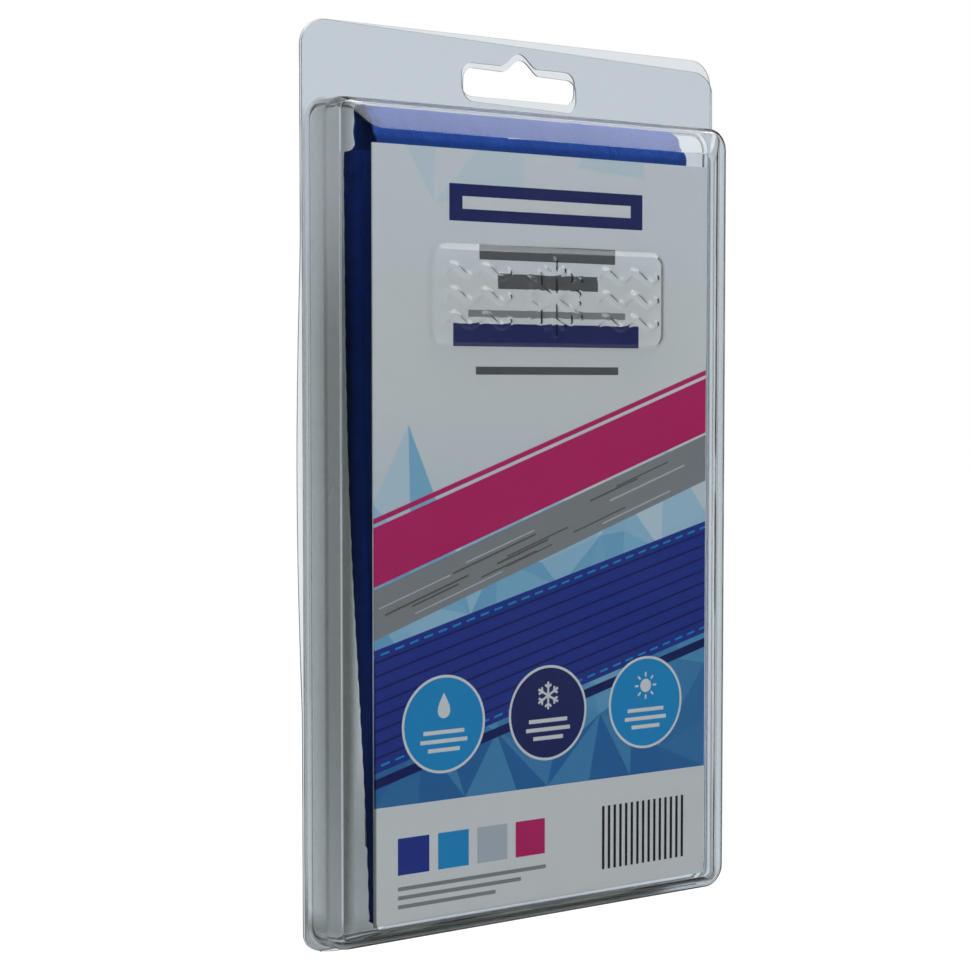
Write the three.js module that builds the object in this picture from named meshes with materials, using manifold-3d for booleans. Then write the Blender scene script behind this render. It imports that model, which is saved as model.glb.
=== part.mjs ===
// A clear clamshell hang pack that holds a soft evaporative cooling wallet behind a printed card.
// Units are millimetres, +Z is up and the pack faces -Y. Depth is counted forward from the parting
// plane between the two halves. The origin is where a display hook bears in the hang slot.
import * as THREE from 'three';
import { mergeVertices } from 'three/addons/utils/BufferGeometryUtils.js';
import Module from 'manifold-3d';

const wasm = await Module();
wasm.setup();

// Wallet: the soft cover seen behind the card
const walletWidth = 91.8;
const walletLength = 179.8;
const walletShift = -2.75;
const footTaper = 2.8;
const taperHeight = 110;
const mouthDrop = 10;
const coverCloth = 0.6;
const bindingCloth = 0.9;
const clothGap = 0.15;
const pocketFoot = 0.4;
const pocketMouth = 3.0;

// Flap: folds over the mouth and hangs down the front of the cover
const flapCloth = 0.8;
const flapLength = 54;
const flapInset = 3.0;
const flapRoof = 3.3;
const flapSlope = 7.6;
const flapBend = 1.0;
const flapHingeGap = 0.15;

// Hook and loop tape under the flap, and the blank sewn label
const tapeWidth = 60;
const tapeHeight = 16;
const tapeFromFlapFoot = 4;
const hookTape = 0.9;
const loopTape = 0.9;
const seatGap = 0.1;
const labelWidth = 40;
const labelHeight = 22;
const labelCloth = 0.3;
const labelDrop = 18;

// Inner pouch: two quilted panels, each with sewn channels of dry crystals
const pouchCloth = 0.8;
const pouchLining = 0.3;
const pouchSideGap = 1.2;
const pouchFootGap = 2.4;
const pouchTopGap = 4;
const channelCount = 3;
const channelSeam = 3.5;
const channelEndSeam = 6;
const channelDepth = 0.5;
const crystalBed = 0.3;
const crystalGap = 0.2;

// Printed card and folded leaflet
const cardThickness = 0.4;
const cardOverWallet = 1.4;
const cardShift = -0.7;
const cardFootAboveFace = 1.0;
const cardTopBelowFace = 3.2;
const cardGap = 0.15;
const leafletWidth = 80;
const leafletHeight = 140;
const leafletThickness = 0.6;
const leafletFoot = 22;
const leafletGap = 0.1;
const walletBackGap = 0.5;

// Clear film shells
const film = 0.5;
const leafGap = 0.3;
const sideFlange = 1.2;
const footFlange = 0.8;
const headerHeight = 17.3;
const headerCorner = 6;
const footCorner = 4;
const bubbleCorner = 5;
const faceCorner = 2.2;
const plugFace = 1.0;
const plugClearance = 0.35;
const plugFillet = 0.5;
const tierOneDepth = 8.9;
const tierOneFillet = 2.3;
const tierOneDraft = 0.28;
const tierTwoFillet = 1.8;
const tierTwoDraft = 0.44;
const tierOneRun = { side: 1.6, foot: 1.7, top: 0.8 };
const shoulderRun = { side: 2.3, foot: 0.7, top: 0.4 };
const tierTwoRun = { side: 5.6, foot: 2.6, top: 6.0 };
const faceOverCard = 0.4;
const walletFootAboveFace = 0.4;
const walletTopClearance = 1.2;

// Raised panel on the front face, with a plain frost motif
const panelWidth = 65.4;
const panelHeight = 23;
const panelBelowFaceTop = 24;
const panelCorner = 3.5;
const panelRaise = 0.8;
const panelSlope = 0.8;
const motifRaise = 0.6;
const motifRib = 2.2;
const frostReach = 8.2;
const frostTwig = 2.8;
const frostKnee = 4.9;
const waveLength = 17;
const waveHeight = 1.1;
const wavePitch = 5.4;
const waveFromCentre = 21;

// Hang slot, and how far askew the front leaf of the header was cut
const slotWidth = 32;
const slotHeight = 7.6;
const slotCorner = 2.8;
const slotAboveBubble = 3.5;
const slotBump = 3.1;
const slotBumpHalf = 5.0;
const leafDrop = 1.6;
const leafSkew = 0.026;

// Living hinge along the foot
const hingeBead = 0.45;
const hingeSeat = 0.15;

const cornerSteps = 5;
const filletSteps = 4;
const clothRows = 10;

// Depths worked out from the stack of pieces between the two shells
const leafFace = leafGap / 2;
const tapeStack = hookTape + loopTape + 3 * seatGap;
const flapStack = flapCloth + tapeStack;
const sideStack = coverCloth + clothGap + pouchCloth + clothGap + pouchLining;
const leafletBack = plugFace + leafletGap;
const leafletFront = leafletBack + leafletThickness;
const walletBack = leafletFront + walletBackGap;
const walletFront = walletBack + 2 * sideStack + pocketMouth + flapStack;
const cardBack = walletFront + clothGap;
const cardFront = cardBack + cardThickness;
const faceDepth = cardFront + cardGap + film;

// Heights and half widths worked out from the wallet and its card
const runSum = (side) => tierOneRun[side] + shoulderRun[side] + tierTwoRun[side];
const bubbleFoot = footFlange;
const faceFoot = bubbleFoot + runSum('foot');
const walletFoot = faceFoot + walletFootAboveFace;
const walletTop = walletFoot + walletLength;
const bubbleTop = walletTop + walletTopClearance + film;
const faceTop = bubbleTop - runSum('top');
const packHeight = bubbleTop + headerHeight;
const cardWidth = walletWidth + cardOverWallet;
const faceHalf = cardWidth / 2 + faceOverCard;
const bubbleHalf = faceHalf + runSum('side');
const packHalf = bubbleHalf + sideFlange;
const mouth = walletTop - mouthDrop;
const flapHinge = walletTop - flapCloth - flapHingeGap;
const flapFoot = walletTop - flapLength;
const slotFoot = bubbleTop + slotAboveBubble;
const slotTop = slotFoot + slotHeight;
const hangPoint = slotTop + slotBump - leafDrop;
const hingeAxis = -(hingeBead + hingeSeat);

const colours = {
  film: 0xdfe6ea,
  card: 0xd9e4ec,
  paper: 0xf2f2ee,
  cloth: 0x1c2f8f,
  binding: 0x16246f,
  tape: 0x121a4a,
  label: 0xe8e8e6,
  lining: 0x2a2c36,
  crystal: 0xeef2f2,
};

// Turns a closed geometry into a solid that can be joined and cut.
function solidOf(geometry) {
  geometry.deleteAttribute('normal');
  geometry.deleteAttribute('uv');
  const merged = mergeVertices(geometry);
  return new wasm.Manifold(new wasm.Mesh({
    numProp: 3,
    vertProperties: new Float32Array(merged.attributes.position.array),
    triVerts: new Uint32Array(merged.index.array),
  }));
}

function geometryOf(solid) {
  const mesh = solid.getMesh();
  const geometry = new THREE.BufferGeometry();
  geometry.setAttribute('position', new THREE.BufferAttribute(new Float32Array(mesh.vertProperties), 3));
  geometry.setIndex(new THREE.BufferAttribute(new Uint32Array(mesh.triVerts), 1));
  return geometry;
}

// Joins rings of equal count, from back to front, into one closed skin with flat ends.
function loft(rings) {
  const count = rings[0].length;
  const points = rings.flat();
  const index = [];
  for (let row = 0; row + 1 < rings.length; row += 1) {
    for (let i = 0; i < count; i += 1) {
      const a = row * count + i;
      const b = row * count + ((i + 1) % count);
      index.push(a, b, b + count, a, b + count, a + count);
    }
  }
  const last = (rings.length - 1) * count;
  for (let i = 1; i + 1 < count; i += 1) {
    index.push(0, i + 1, i);
    index.push(last, last + i, last + i + 1);
  }
  const geometry = new THREE.BufferGeometry().setFromPoints(points);
  geometry.setIndex(index);
  return geometry;
}

// A rounded rectangle standing in a plane of constant depth, counter-clockwise seen from the front.
function roundedRing({ half, foot, top, corner, depth }) {
  const corners = [
    [half - corner, foot + corner, -Math.PI / 2],
    [half - corner, top - corner, 0],
    [corner - half, top - corner, Math.PI / 2],
    [corner - half, foot + corner, Math.PI],
  ];
  return corners.flatMap(([x, z, start]) => Array.from({ length: cornerSteps + 1 }, (_, step) => {
    const angle = start + (step / cornerSteps) * (Math.PI / 2);
    return new THREE.Vector3(x + corner * Math.cos(angle), -depth, z + corner * Math.sin(angle));
  }));
}

// A flat shape drawn in width and height, given thickness between two depths.
function standing(shape, backDepth, frontDepth) {
  const geometry = new THREE.ExtrudeGeometry(shape, {
    depth: frontDepth - backDepth,
    bevelEnabled: false,
    curveSegments: cornerSteps,
  });
  geometry.rotateX(Math.PI / 2);
  geometry.translate(0, -backDepth, 0);
  return geometry;
}

// A polygon whose corners are rounded by quadratic curves.
function roundedPolygon(corners, reaches) {
  const shape = new THREE.Shape();
  corners.forEach((corner, i) => {
    const before = corners[(i + corners.length - 1) % corners.length];
    const after = corners[(i + 1) % corners.length];
    const enter = corner.clone().add(before.clone().sub(corner).setLength(reaches[i]));
    const leave = corner.clone().add(after.clone().sub(corner).setLength(reaches[i]));
    if (i === 0) {
      shape.moveTo(enter.x, enter.y);
    } else {
      shape.lineTo(enter.x, enter.y);
    }
    shape.quadraticCurveTo(corner.x, corner.y, leave.x, leave.y);
  });
  shape.closePath();
  return shape;
}

// A ribbon of even width along a line of points, with square ends that reach past the line.
function ribbon(points, width, reach = 0) {
  const last = points.length - 1;
  const sides = points.map((point, i) => {
    const before = points[Math.max(i - 1, 0)];
    const after = points[Math.min(i + 1, last)];
    const along = after.clone().sub(before).normalize();
    const across = new THREE.Vector2(-along.y, along.x).multiplyScalar(width / 2);
    const past = { 0: -reach, [last]: reach }[i] ?? 0;
    const middle = point.clone().addScaledVector(along, past);
    return [middle.clone().add(across), middle.clone().sub(across)];
  });
  const left = sides.map(([side]) => side);
  const right = sides.map(([, side]) => side).reverse();
  return new THREE.Shape([...left, ...right]);
}

// Outline of one half: straight sides, rounded foot and header, top edge dropped and skewed.
function halfOutline(drop, skew) {
  const top = (x) => packHeight - drop - skew * x;
  const corners = [
    new THREE.Vector2(-packHalf, 0),
    new THREE.Vector2(packHalf, 0),
    new THREE.Vector2(packHalf, top(packHalf)),
    new THREE.Vector2(-packHalf, top(-packHalf)),
  ];
  return roundedPolygon(corners, [footCorner, footCorner, headerCorner, headerCorner]);
}

// Hang slot: a long round-cornered slot with a shallow arch over its middle.
function slotOutline() {
  const half = slotWidth / 2;
  const archRadius = (slotBumpHalf ** 2 + slotBump ** 2) / (2 * slotBump);
  const archAngle = Math.asin(slotBumpHalf / archRadius);
  const upright = Math.PI / 2;
  const shape = new THREE.Shape();
  shape.absarc(half - slotCorner, slotCorner, slotCorner, -upright, 0);
  shape.absarc(half - slotCorner, slotHeight - slotCorner, slotCorner, 0, upright);
  shape.absarc(0, slotHeight + slotBump - archRadius, archRadius, upright - archAngle, upright + archAngle);
  shape.absarc(slotCorner - half, slotHeight - slotCorner, slotCorner, upright, 2 * upright);
  shape.absarc(slotCorner - half, slotCorner, slotCorner, 2 * upright, 3 * upright);
  return shape;
}

function slotCutter(drop, skew) {
  const geometry = standing(slotOutline(), -faceDepth, faceDepth);
  geometry.rotateY(Math.atan(skew));
  geometry.translate(0, 0, slotFoot - drop);
  return solidOf(geometry);
}

// Section of the bubble from its base to its front face. Each stage says how much of each
// run lies behind it, its depth, and which way the film faces there.
function bubbleStages() {
  const stages = [
    { one: 0, shoulder: 0, two: 0, depth: leafFace, out: 1, forward: 0 },
    { one: tierOneDraft, shoulder: 0, two: 0, depth: tierOneDepth - tierOneFillet, out: 1, forward: 0 },
  ];
  const turn = (step) => (step / filletSteps) * (Math.PI / 2);
  for (let step = 1; step <= filletSteps; step += 1) {
    const angle = turn(step);
    stages.push({
      one: tierOneDraft + (1 - tierOneDraft) * (1 - Math.cos(angle)),
      shoulder: 0,
      two: 0,
      depth: tierOneDepth - tierOneFillet * (1 - Math.sin(angle)),
      out: Math.cos(angle),
      forward: Math.sin(angle),
    });
  }
  stages.push({ one: 1, shoulder: 1, two: 0, depth: tierOneDepth, out: 1, forward: 1 });
  for (let step = 0; step <= filletSteps; step += 1) {
    const angle = turn(step);
    stages.push({
      one: 1,
      shoulder: 1,
      two: tierTwoDraft + (1 - tierTwoDraft) * (1 - Math.cos(angle)),
      depth: faceDepth - tierTwoFillet * (1 - Math.sin(angle)),
      out: Math.cos(angle),
      forward: Math.sin(angle),
    });
  }
  return stages;
}

function bubbleRing(stage, wall) {
  const inset = (side) => stage.one * tierOneRun[side] + stage.shoulder * shoulderRun[side]
    + stage.two * tierTwoRun[side] + wall * stage.out;
  return roundedRing({
    half: bubbleHalf - inset('side'),
    foot: bubbleFoot + inset('foot'),
    top: bubbleTop - inset('top'),
    corner: THREE.MathUtils.lerp(bubbleCorner, faceCorner, stage.shoulder) - wall * stage.out,
    depth: stage.depth - wall * stage.forward,
  });
}

function bubbleInside() {
  const rings = bubbleStages().map((stage) => bubbleRing(stage, film));
  const behind = rings[0].map((point) => point.clone().setY(faceDepth));
  return solidOf(loft([behind, ...rings]));
}

// Raised panel on the front face; a wall above zero gives the hollow behind it.
function panelSolid(wall) {
  const middle = faceTop - panelBelowFaceTop - panelHeight / 2;
  const ring = (inset, depth) => roundedRing({
    half: panelWidth / 2 - inset,
    foot: middle - panelHeight / 2 + inset,
    top: middle + panelHeight / 2 - inset,
    corner: panelCorner,
    depth,
  });
  return solidOf(loft([
    ring(wall, faceDepth - film / 2 - wall),
    ring(wall, faceDepth - wall),
    ring(wall + panelSlope, faceDepth + panelRaise - wall),
  ]));
}

// Lines of the frost motif, about the middle of the raised panel.
function motifLines() {
  const lines = [];
  const arm = (reach, angle) => new THREE.Vector2(Math.cos(angle), Math.sin(angle)).multiplyScalar(reach);
  for (let spoke = 0; spoke < 6; spoke += 1) {
    const angle = (spoke * Math.PI) / 3 + Math.PI / 6;
    lines.push([new THREE.Vector2(), arm(frostReach, angle)]);
    const knee = arm(frostKnee, angle);
    for (const side of [-1, 1]) {
      lines.push([knee, knee.clone().add(arm(frostTwig, angle + (side * Math.PI) / 3))]);
    }
  }
  const waveSteps = 8;
  for (const side of [-1, 1]) {
    for (const row of [-1, 0, 1]) {
      lines.push(Array.from({ length: waveSteps + 1 }, (_, step) => new THREE.Vector2(
        side * waveFromCentre + (step / waveSteps - 0.5) * waveLength,
        row * wavePitch + waveHeight * Math.sin((step / waveSteps) * 2 * Math.PI),
      )));
    }
  }
  return lines;
}

function motifSolid(wall) {
  const middle = faceTop - panelBelowFaceTop - panelHeight / 2;
  const back = faceDepth + panelRaise - film / 2 - wall;
  const front = faceDepth + panelRaise + motifRaise - wall;
  const ribs = motifLines().map((line) => {
    const geometry = standing(ribbon(line, motifRib - 2 * wall, film - wall), back, front);
    geometry.translate(0, 0, middle);
    return solidOf(geometry);
  });
  return ribs.reduce((all, rib) => all.add(rib));
}

function frontShell() {
  const leaf = solidOf(standing(halfOutline(leafDrop, leafSkew), leafFace, leafFace + film));
  const bubble = solidOf(loft(bubbleStages().map((stage) => bubbleRing(stage, 0))));
  const formed = leaf.add(bubble).add(panelSolid(0)).add(motifSolid(0));
  const hollow = bubbleInside().add(panelSolid(film)).add(motifSolid(film));
  return geometryOf(formed.subtract(hollow).subtract(slotCutter(leafDrop, leafSkew)));
}

// The back half is a flat leaf with a low plug that presses into the front bubble.
function plugSolid(wall) {
  const base = bubbleStages()[0];
  const ring = (inset, depth) => bubbleRing({ ...base, out: 1, depth }, film + plugClearance + inset + wall);
  return solidOf(loft([
    ring(0, wall === 0 ? -leafFace - film / 2 : -faceDepth),
    ring(0, plugFace - plugFillet - wall),
    ring(plugFillet, plugFace - wall),
  ]));
}

function backShell() {
  const leaf = solidOf(standing(halfOutline(0, 0), -leafFace - film, -leafFace));
  return geometryOf(leaf.add(plugSolid(0)).subtract(plugSolid(film)).subtract(slotCutter(0, 0)));
}

function livingHinge() {
  const length = 2 * (packHalf - footCorner);
  const geometry = new THREE.CylinderGeometry(hingeBead, hingeBead, length, 8);
  geometry.rotateZ(Math.PI / 2);
  geometry.translate(0, 0, hingeAxis);
  return geometry;
}

// Wallet surfaces as functions of height: the cover's sides, front and back.
function footEase(z) {
  return 1 - THREE.MathUtils.smoothstep(z, walletFoot, walletFoot + taperHeight);
}

const walletLeft = (z) => walletShift - walletWidth / 2 + footTaper * footEase(z);
const walletRight = (z) => walletShift + walletWidth / 2 - footTaper * footEase(z);

function coverFront(z) {
  const share = THREE.MathUtils.clamp((z - walletFoot) / (flapFoot - walletFoot), 0, 1);
  return walletFront - flapStack * share;
}

function coverBack(z) {
  const share = THREE.MathUtils.clamp((z - walletFoot) / (mouth - walletFoot), 0, 1);
  return coverFront(z) - 2 * sideStack - THREE.MathUtils.lerp(pocketFoot, pocketMouth, share);
}

// A cloth panel between two heights, bounded by functions of height.
function slab({ foot, top, left, right, front, back, rows = clothRows }) {
  return loft(Array.from({ length: rows + 1 }, (_, row) => {
    const z = THREE.MathUtils.lerp(foot, top, row / rows);
    return [
      new THREE.Vector3(left(z), -front(z), z),
      new THREE.Vector3(right(z), -front(z), z),
      new THREE.Vector3(right(z), -back(z), z),
      new THREE.Vector3(left(z), -back(z), z),
    ];
  }));
}

const panelLeft = (z) => walletLeft(z) + bindingCloth + clothGap;
const panelRight = (z) => walletRight(z) - bindingCloth - clothGap;
const panelFoot = walletFoot + bindingCloth + clothGap;

function coverFrontPanel() {
  return slab({
    foot: panelFoot,
    top: mouth,
    left: panelLeft,
    right: panelRight,
    front: coverFront,
    back: (z) => coverFront(z) - coverCloth,
  });
}

// The back panel runs up past the mouth as a narrower neck, which the flap folds from.
function coverBackPanel() {
  const faces = { front: (z) => coverBack(z) + coverCloth, back: coverBack };
  const body = slab({ foot: panelFoot, top: mouth, left: panelLeft, right: panelRight, ...faces });
  const neckTop = flapHinge - flapHingeGap;
  const neck = slab({
    foot: 2 * mouth - neckTop,
    top: neckTop,
    left: (z) => walletLeft(z) + flapInset,
    right: (z) => walletRight(z) - flapInset,
    rows: 2,
    ...faces,
  });
  return geometryOf(solidOf(body).add(solidOf(neck)));
}

function coverFlap() {
  const half = flapCloth / 2;
  const roof = walletTop - half;
  const path = new THREE.Path();
  path.moveTo(walletBack, roof);
  path.lineTo(walletBack + flapRoof, roof);
  path.quadraticCurveTo(tierOneDepth - flapBend, roof - half, walletFront - half, walletTop - flapSlope);
  path.lineTo(walletFront - half, flapFoot);
  const section = ribbon(path.getPoints(2 * filletSteps), flapCloth);
  const left = walletLeft(mouth) + flapInset;
  const right = walletRight(mouth) - flapInset;
  const geometry = new THREE.ExtrudeGeometry(section, { depth: right - left, bevelEnabled: false });
  const turn = new THREE.Matrix4().makeBasis(
    new THREE.Vector3(0, -1, 0),
    new THREE.Vector3(0, 0, 1),
    new THREE.Vector3(-1, 0, 0),
  );
  geometry.applyMatrix4(turn);
  geometry.translate(right, 0, 0);
  return geometry;
}

function sideBinding(side) {
  const outer = side === 'left' ? walletLeft : walletRight;
  const step = side === 'left' ? bindingCloth : -bindingCloth;
  const inner = (z) => outer(z) + step;
  return slab({
    foot: panelFoot,
    top: mouth,
    left: side === 'left' ? outer : inner,
    right: side === 'left' ? inner : outer,
    front: coverFront,
    back: coverBack,
  });
}

function footBinding() {
  return slab({
    foot: walletFoot,
    top: walletFoot + bindingCloth,
    left: walletLeft,
    right: walletRight,
    front: () => coverFront(walletFoot),
    back: () => coverBack(walletFoot),
    rows: 1,
  });
}

// A flat strip centred on the wallet, between two depths.
function strip(width, foot, height, back, front) {
  return slab({
    foot,
    top: foot + height,
    left: () => walletShift - width / 2,
    right: () => walletShift + width / 2,
    front,
    back,
    rows: 1,
  });
}

const tapeFoot = flapFoot + tapeFromFlapFoot;

function loopTapeStrip() {
  const back = coverFront(tapeFoot) + seatGap;
  return strip(tapeWidth, tapeFoot, tapeHeight, () => back, () => back + loopTape);
}

function hookTapeStrip() {
  const front = walletFront - flapCloth - seatGap;
  return strip(tapeWidth, tapeFoot, tapeHeight, () => front - hookTape, () => front);
}

function wovenLabel() {
  const foot = flapFoot - labelDrop - labelHeight;
  const back = (z) => coverFront(z) + seatGap;
  return strip(labelWidth, foot, labelHeight, back, (z) => back(z) + labelCloth);
}

// Pouch panels are counted inward from the cover: sign -1 for the front side, 1 for the back.
const pouchFoot = panelFoot + pouchFootGap;
const pouchTop = mouth - pouchTopGap;
const pouchLeft = (z) => panelLeft(z) + pouchSideGap;
const pouchRight = (z) => panelRight(z) - pouchSideGap;

function layer(side, outer, inner) {
  if (side === 'front') {
    return { front: (z) => coverFront(z) - outer, back: (z) => coverFront(z) - inner };
  }
  return { front: (z) => coverBack(z) + inner, back: (z) => coverBack(z) + outer };
}

const pouchOuter = coverCloth + clothGap;
const pouchInner = pouchOuter + pouchCloth;

function channelSides(number, margin) {
  const share = (z) => (pouchRight(z) - pouchLeft(z) - channelSeam) / channelCount;
  return {
    left: (z) => pouchLeft(z) + channelSeam + number * share(z) + margin,
    right: (z) => pouchLeft(z) + (number + 1) * share(z) - margin,
  };
}

function pouchPanel(side) {
  const panel = slab({
    foot: pouchFoot,
    top: pouchTop,
    left: pouchLeft,
    right: pouchRight,
    ...layer(side, pouchOuter, pouchInner),
  });
  let solid = solidOf(panel);
  for (let number = 0; number < channelCount; number += 1) {
    solid = solid.subtract(solidOf(slab({
      foot: pouchFoot + channelEndSeam,
      top: pouchTop - channelEndSeam,
      ...channelSides(number, 0),
      ...layer(side, pouchInner - channelDepth, pouchInner + clothGap / 2),
    })));
  }
  return geometryOf(solid);
}

function pouchLiningSheet(side) {
  const outer = pouchInner + clothGap;
  return slab({
    foot: pouchFoot,
    top: pouchTop,
    left: pouchLeft,
    right: pouchRight,
    ...layer(side, outer, outer + pouchLining),
  });
}

function crystalChannel(side, number) {
  const outer = pouchInner - channelDepth + crystalGap / 2;
  return slab({
    foot: pouchFoot + channelEndSeam + crystalGap,
    top: pouchTop - channelEndSeam - crystalGap,
    ...channelSides(number, crystalGap),
    ...layer(side, outer, outer + crystalBed),
  });
}

function frontCard() {
  const shape = roundedPolygon([
    new THREE.Vector2(cardShift - cardWidth / 2, faceFoot + cardFootAboveFace),
    new THREE.Vector2(cardShift + cardWidth / 2, faceFoot + cardFootAboveFace),
    new THREE.Vector2(cardShift + cardWidth / 2, faceTop - cardTopBelowFace),
    new THREE.Vector2(cardShift - cardWidth / 2, faceTop - cardTopBelowFace),
  ], [film, film, film, film]);
  return standing(shape, cardBack, cardFront);
}

function leaflet() {
  return strip(leafletWidth, leafletFoot, leafletHeight, () => leafletBack, () => leafletFront);
}

const finishes = {
  film: { color: colours.film, roughness: 0.08, metalness: 0, transparent: true, opacity: 0.3 },
  card: { color: colours.card, roughness: 0.35, metalness: 0 },
  paper: { color: colours.paper, roughness: 0.7, metalness: 0 },
  cloth: { color: colours.cloth, roughness: 0.85, metalness: 0 },
  binding: { color: colours.binding, roughness: 0.9, metalness: 0 },
  tape: { color: colours.tape, roughness: 0.95, metalness: 0 },
  label: { color: colours.label, roughness: 0.7, metalness: 0 },
  lining: { color: colours.lining, roughness: 0.9, metalness: 0 },
  crystal: { color: colours.crystal, roughness: 0.3, metalness: 0 },
};

const pack = new THREE.Group();
pack.position.z = -hangPoint;

function addPiece(name, geometry, finish) {
  const mesh = new THREE.Mesh(geometry, new THREE.MeshStandardMaterial(finishes[finish]));
  mesh.name = name;
  pack.add(mesh);
}

addPiece('front_shell', frontShell(), 'film');
addPiece('back_shell', backShell(), 'film');
addPiece('living_hinge', livingHinge(), 'film');
addPiece('front_card', frontCard(), 'card');
addPiece('instruction_leaflet', leaflet(), 'paper');
addPiece('cover_front_panel', coverFrontPanel(), 'cloth');
addPiece('cover_back_panel', coverBackPanel(), 'cloth');
addPiece('cover_flap', coverFlap(), 'cloth');
addPiece('seam_binding_left', sideBinding('left'), 'binding');
addPiece('seam_binding_right', sideBinding('right'), 'binding');
addPiece('seam_binding_foot', footBinding(), 'binding');
addPiece('hook_tape', hookTapeStrip(), 'tape');
addPiece('loop_tape', loopTapeStrip(), 'tape');
addPiece('woven_label', wovenLabel(), 'label');
for (const side of ['front', 'back']) {
  addPiece(`pouch_${side}_panel`, pouchPanel(side), 'lining');
  addPiece(`pouch_${side}_lining`, pouchLiningSheet(side), 'lining');
  for (let number = 0; number < channelCount; number += 1) {
    addPiece(`crystal_${side}_${number + 1}`, crystalChannel(side, number), 'crystal');
  }
}

export default pack;
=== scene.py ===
import bpy
import bmesh
import math
import random
import numpy as np
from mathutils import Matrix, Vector, noise
from mathutils.geometry import delaunay_2d_cdt


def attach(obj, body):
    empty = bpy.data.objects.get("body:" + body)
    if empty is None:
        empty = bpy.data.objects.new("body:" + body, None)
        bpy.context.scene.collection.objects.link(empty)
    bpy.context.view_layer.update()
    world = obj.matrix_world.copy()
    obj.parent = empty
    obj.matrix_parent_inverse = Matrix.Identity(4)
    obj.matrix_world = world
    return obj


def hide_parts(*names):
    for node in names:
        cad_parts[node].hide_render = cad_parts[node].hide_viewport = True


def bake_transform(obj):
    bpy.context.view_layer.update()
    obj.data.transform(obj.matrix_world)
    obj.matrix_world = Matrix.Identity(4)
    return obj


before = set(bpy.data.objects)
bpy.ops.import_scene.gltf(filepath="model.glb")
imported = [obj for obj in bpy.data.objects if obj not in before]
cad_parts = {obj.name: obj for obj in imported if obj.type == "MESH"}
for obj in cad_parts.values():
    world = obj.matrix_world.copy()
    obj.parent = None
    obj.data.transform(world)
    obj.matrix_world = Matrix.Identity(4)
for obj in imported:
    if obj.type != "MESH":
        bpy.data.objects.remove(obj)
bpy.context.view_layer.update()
print("frame loaded:", len(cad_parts), "CAD nodes")

mm = 0.001
hangHeight = 200.3  # the origin is this far above the foot of the leaves, in mm


def at(x, depth, z):  # mm, depth counted forward from the parting plane
    return Vector((x * mm, -depth * mm, (z - hangHeight) * mm))


def mix(a, b, share):
    return a + (b - a) * share


def clamp(value):
    return min(1.0, max(0.0, value))


def ease(value):
    t = clamp(value)
    return t * t * (3 - 2 * t)


def shares(steps, first=0):  # even steps from 0 to 1
    return [k / steps for k in range(first, steps + 1)]


def quarter(steps, first=0):  # sines and cosines over a quarter turn
    return [(math.sin(s * math.pi / 2), math.cos(s * math.pi / 2)) for s in shares(steps, first)]


def ripple(x, y, z, scale):  # smooth noise from -1 to 1, the same each run
    return noise.noise(Vector((x, y, z)) * scale)


def newPiece(name, points=(), faces=(), finish=None, smooth=True, edges=()):
    mesh = bpy.data.meshes.new(name)
    mesh.from_pydata([tuple(p) for p in points], edges, faces)
    mesh.polygons.foreach_set("use_smooth", [smooth] * len(mesh.polygons))
    piece = bpy.data.objects.new(name, mesh)
    bpy.context.scene.collection.objects.link(piece)
    if finish:
        mesh.materials.append(finish)
    return piece


def settle(piece):  # the modifiers' result becomes the piece's own plain mesh
    depsgraph = bpy.context.evaluated_depsgraph_get()
    mesh = bpy.data.meshes.new_from_object(piece.evaluated_get(depsgraph))
    mesh.name = piece.name
    piece.modifiers.clear()
    piece.data = mesh
    return piece


def mergePoints(piece, reach=2e-6):  # shared points become one and loose ones go
    work = bmesh.new()
    work.from_mesh(piece.data)
    bmesh.ops.remove_doubles(work, verts=work.verts, dist=reach)
    loose = [v for v in work.verts if not v.link_faces]
    bmesh.ops.delete(work, geom=loose, context="VERTS")
    work.to_mesh(piece.data)
    work.free()
    return piece


def thicken(piece, wall, offset=-1.0, rim=None, sharp=38):
    solid = piece.modifiers.new("wall", "SOLIDIFY")
    if rim:
        piece.data.materials.append(rim)
        solid.material_offset_rim = 1
    solid.thickness = wall * mm
    solid.offset = offset
    solid.use_even_offset = True
    solid.use_quality_normals = True
    settle(piece)
    piece.data.set_sharp_from_angle(angle=math.radians(sharp))
    return piece


def joinPieces(kept, *others):  # the others' meshes go into kept's, with their attributes
    for piece in bpy.context.selected_objects:
        piece.select_set(False)
    for piece in (kept, *others):
        piece.select_set(True)
    bpy.context.view_layer.objects.active = kept
    bpy.ops.object.join()
    return kept


def dress(piece, body, slotName, *nodes):  # the body it rides on and the solids that it stands for; the slot name is not used
    if body:
        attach(piece, body)
    if nodes:
        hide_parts(*nodes)
    return piece


def flatFill(outline, holes=(), inner=()):  # triangles between an outline and its holes
    points = [Vector(p) for p in outline]
    loops = [list(range(len(points)))]
    for hole in holes:
        loops.append(list(range(len(points), len(points) + len(hole))))
        points += [Vector(p) for p in hole]
    points += [Vector(p) for p in inner]
    found = delaunay_2d_cdt(points, [], loops, 1, 1e-6, True)
    kept = [f for f, owners in zip(found[2], found[5]) if list(owners) == [0]]
    return found[0], kept


def arc(cx, cz, radius, begin, steps=10):  # a quarter of a circle, from an angle in degrees
    turns = [math.radians(begin + 90 * s) for s in shares(steps)]
    return [(cx + radius * math.cos(a), cz + radius * math.sin(a)) for a in turns]


def roundedLoop(corners, arcSteps):  # corners are (x, z, radius, first angle, steps along the side after it)
    ring = []
    for i, (cx, cz, radius, begin, steps) in enumerate(corners):
        ring += arc(cx, cz, radius, begin, arcSteps)
        here, there = ring[-1], arc(*corners[(i + 1) % 4][:4])[0]
        ring += [(mix(here[0], there[0], s), mix(here[1], there[1], s)) for s in shares(steps, 1)[:-1]]
    return ring


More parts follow.
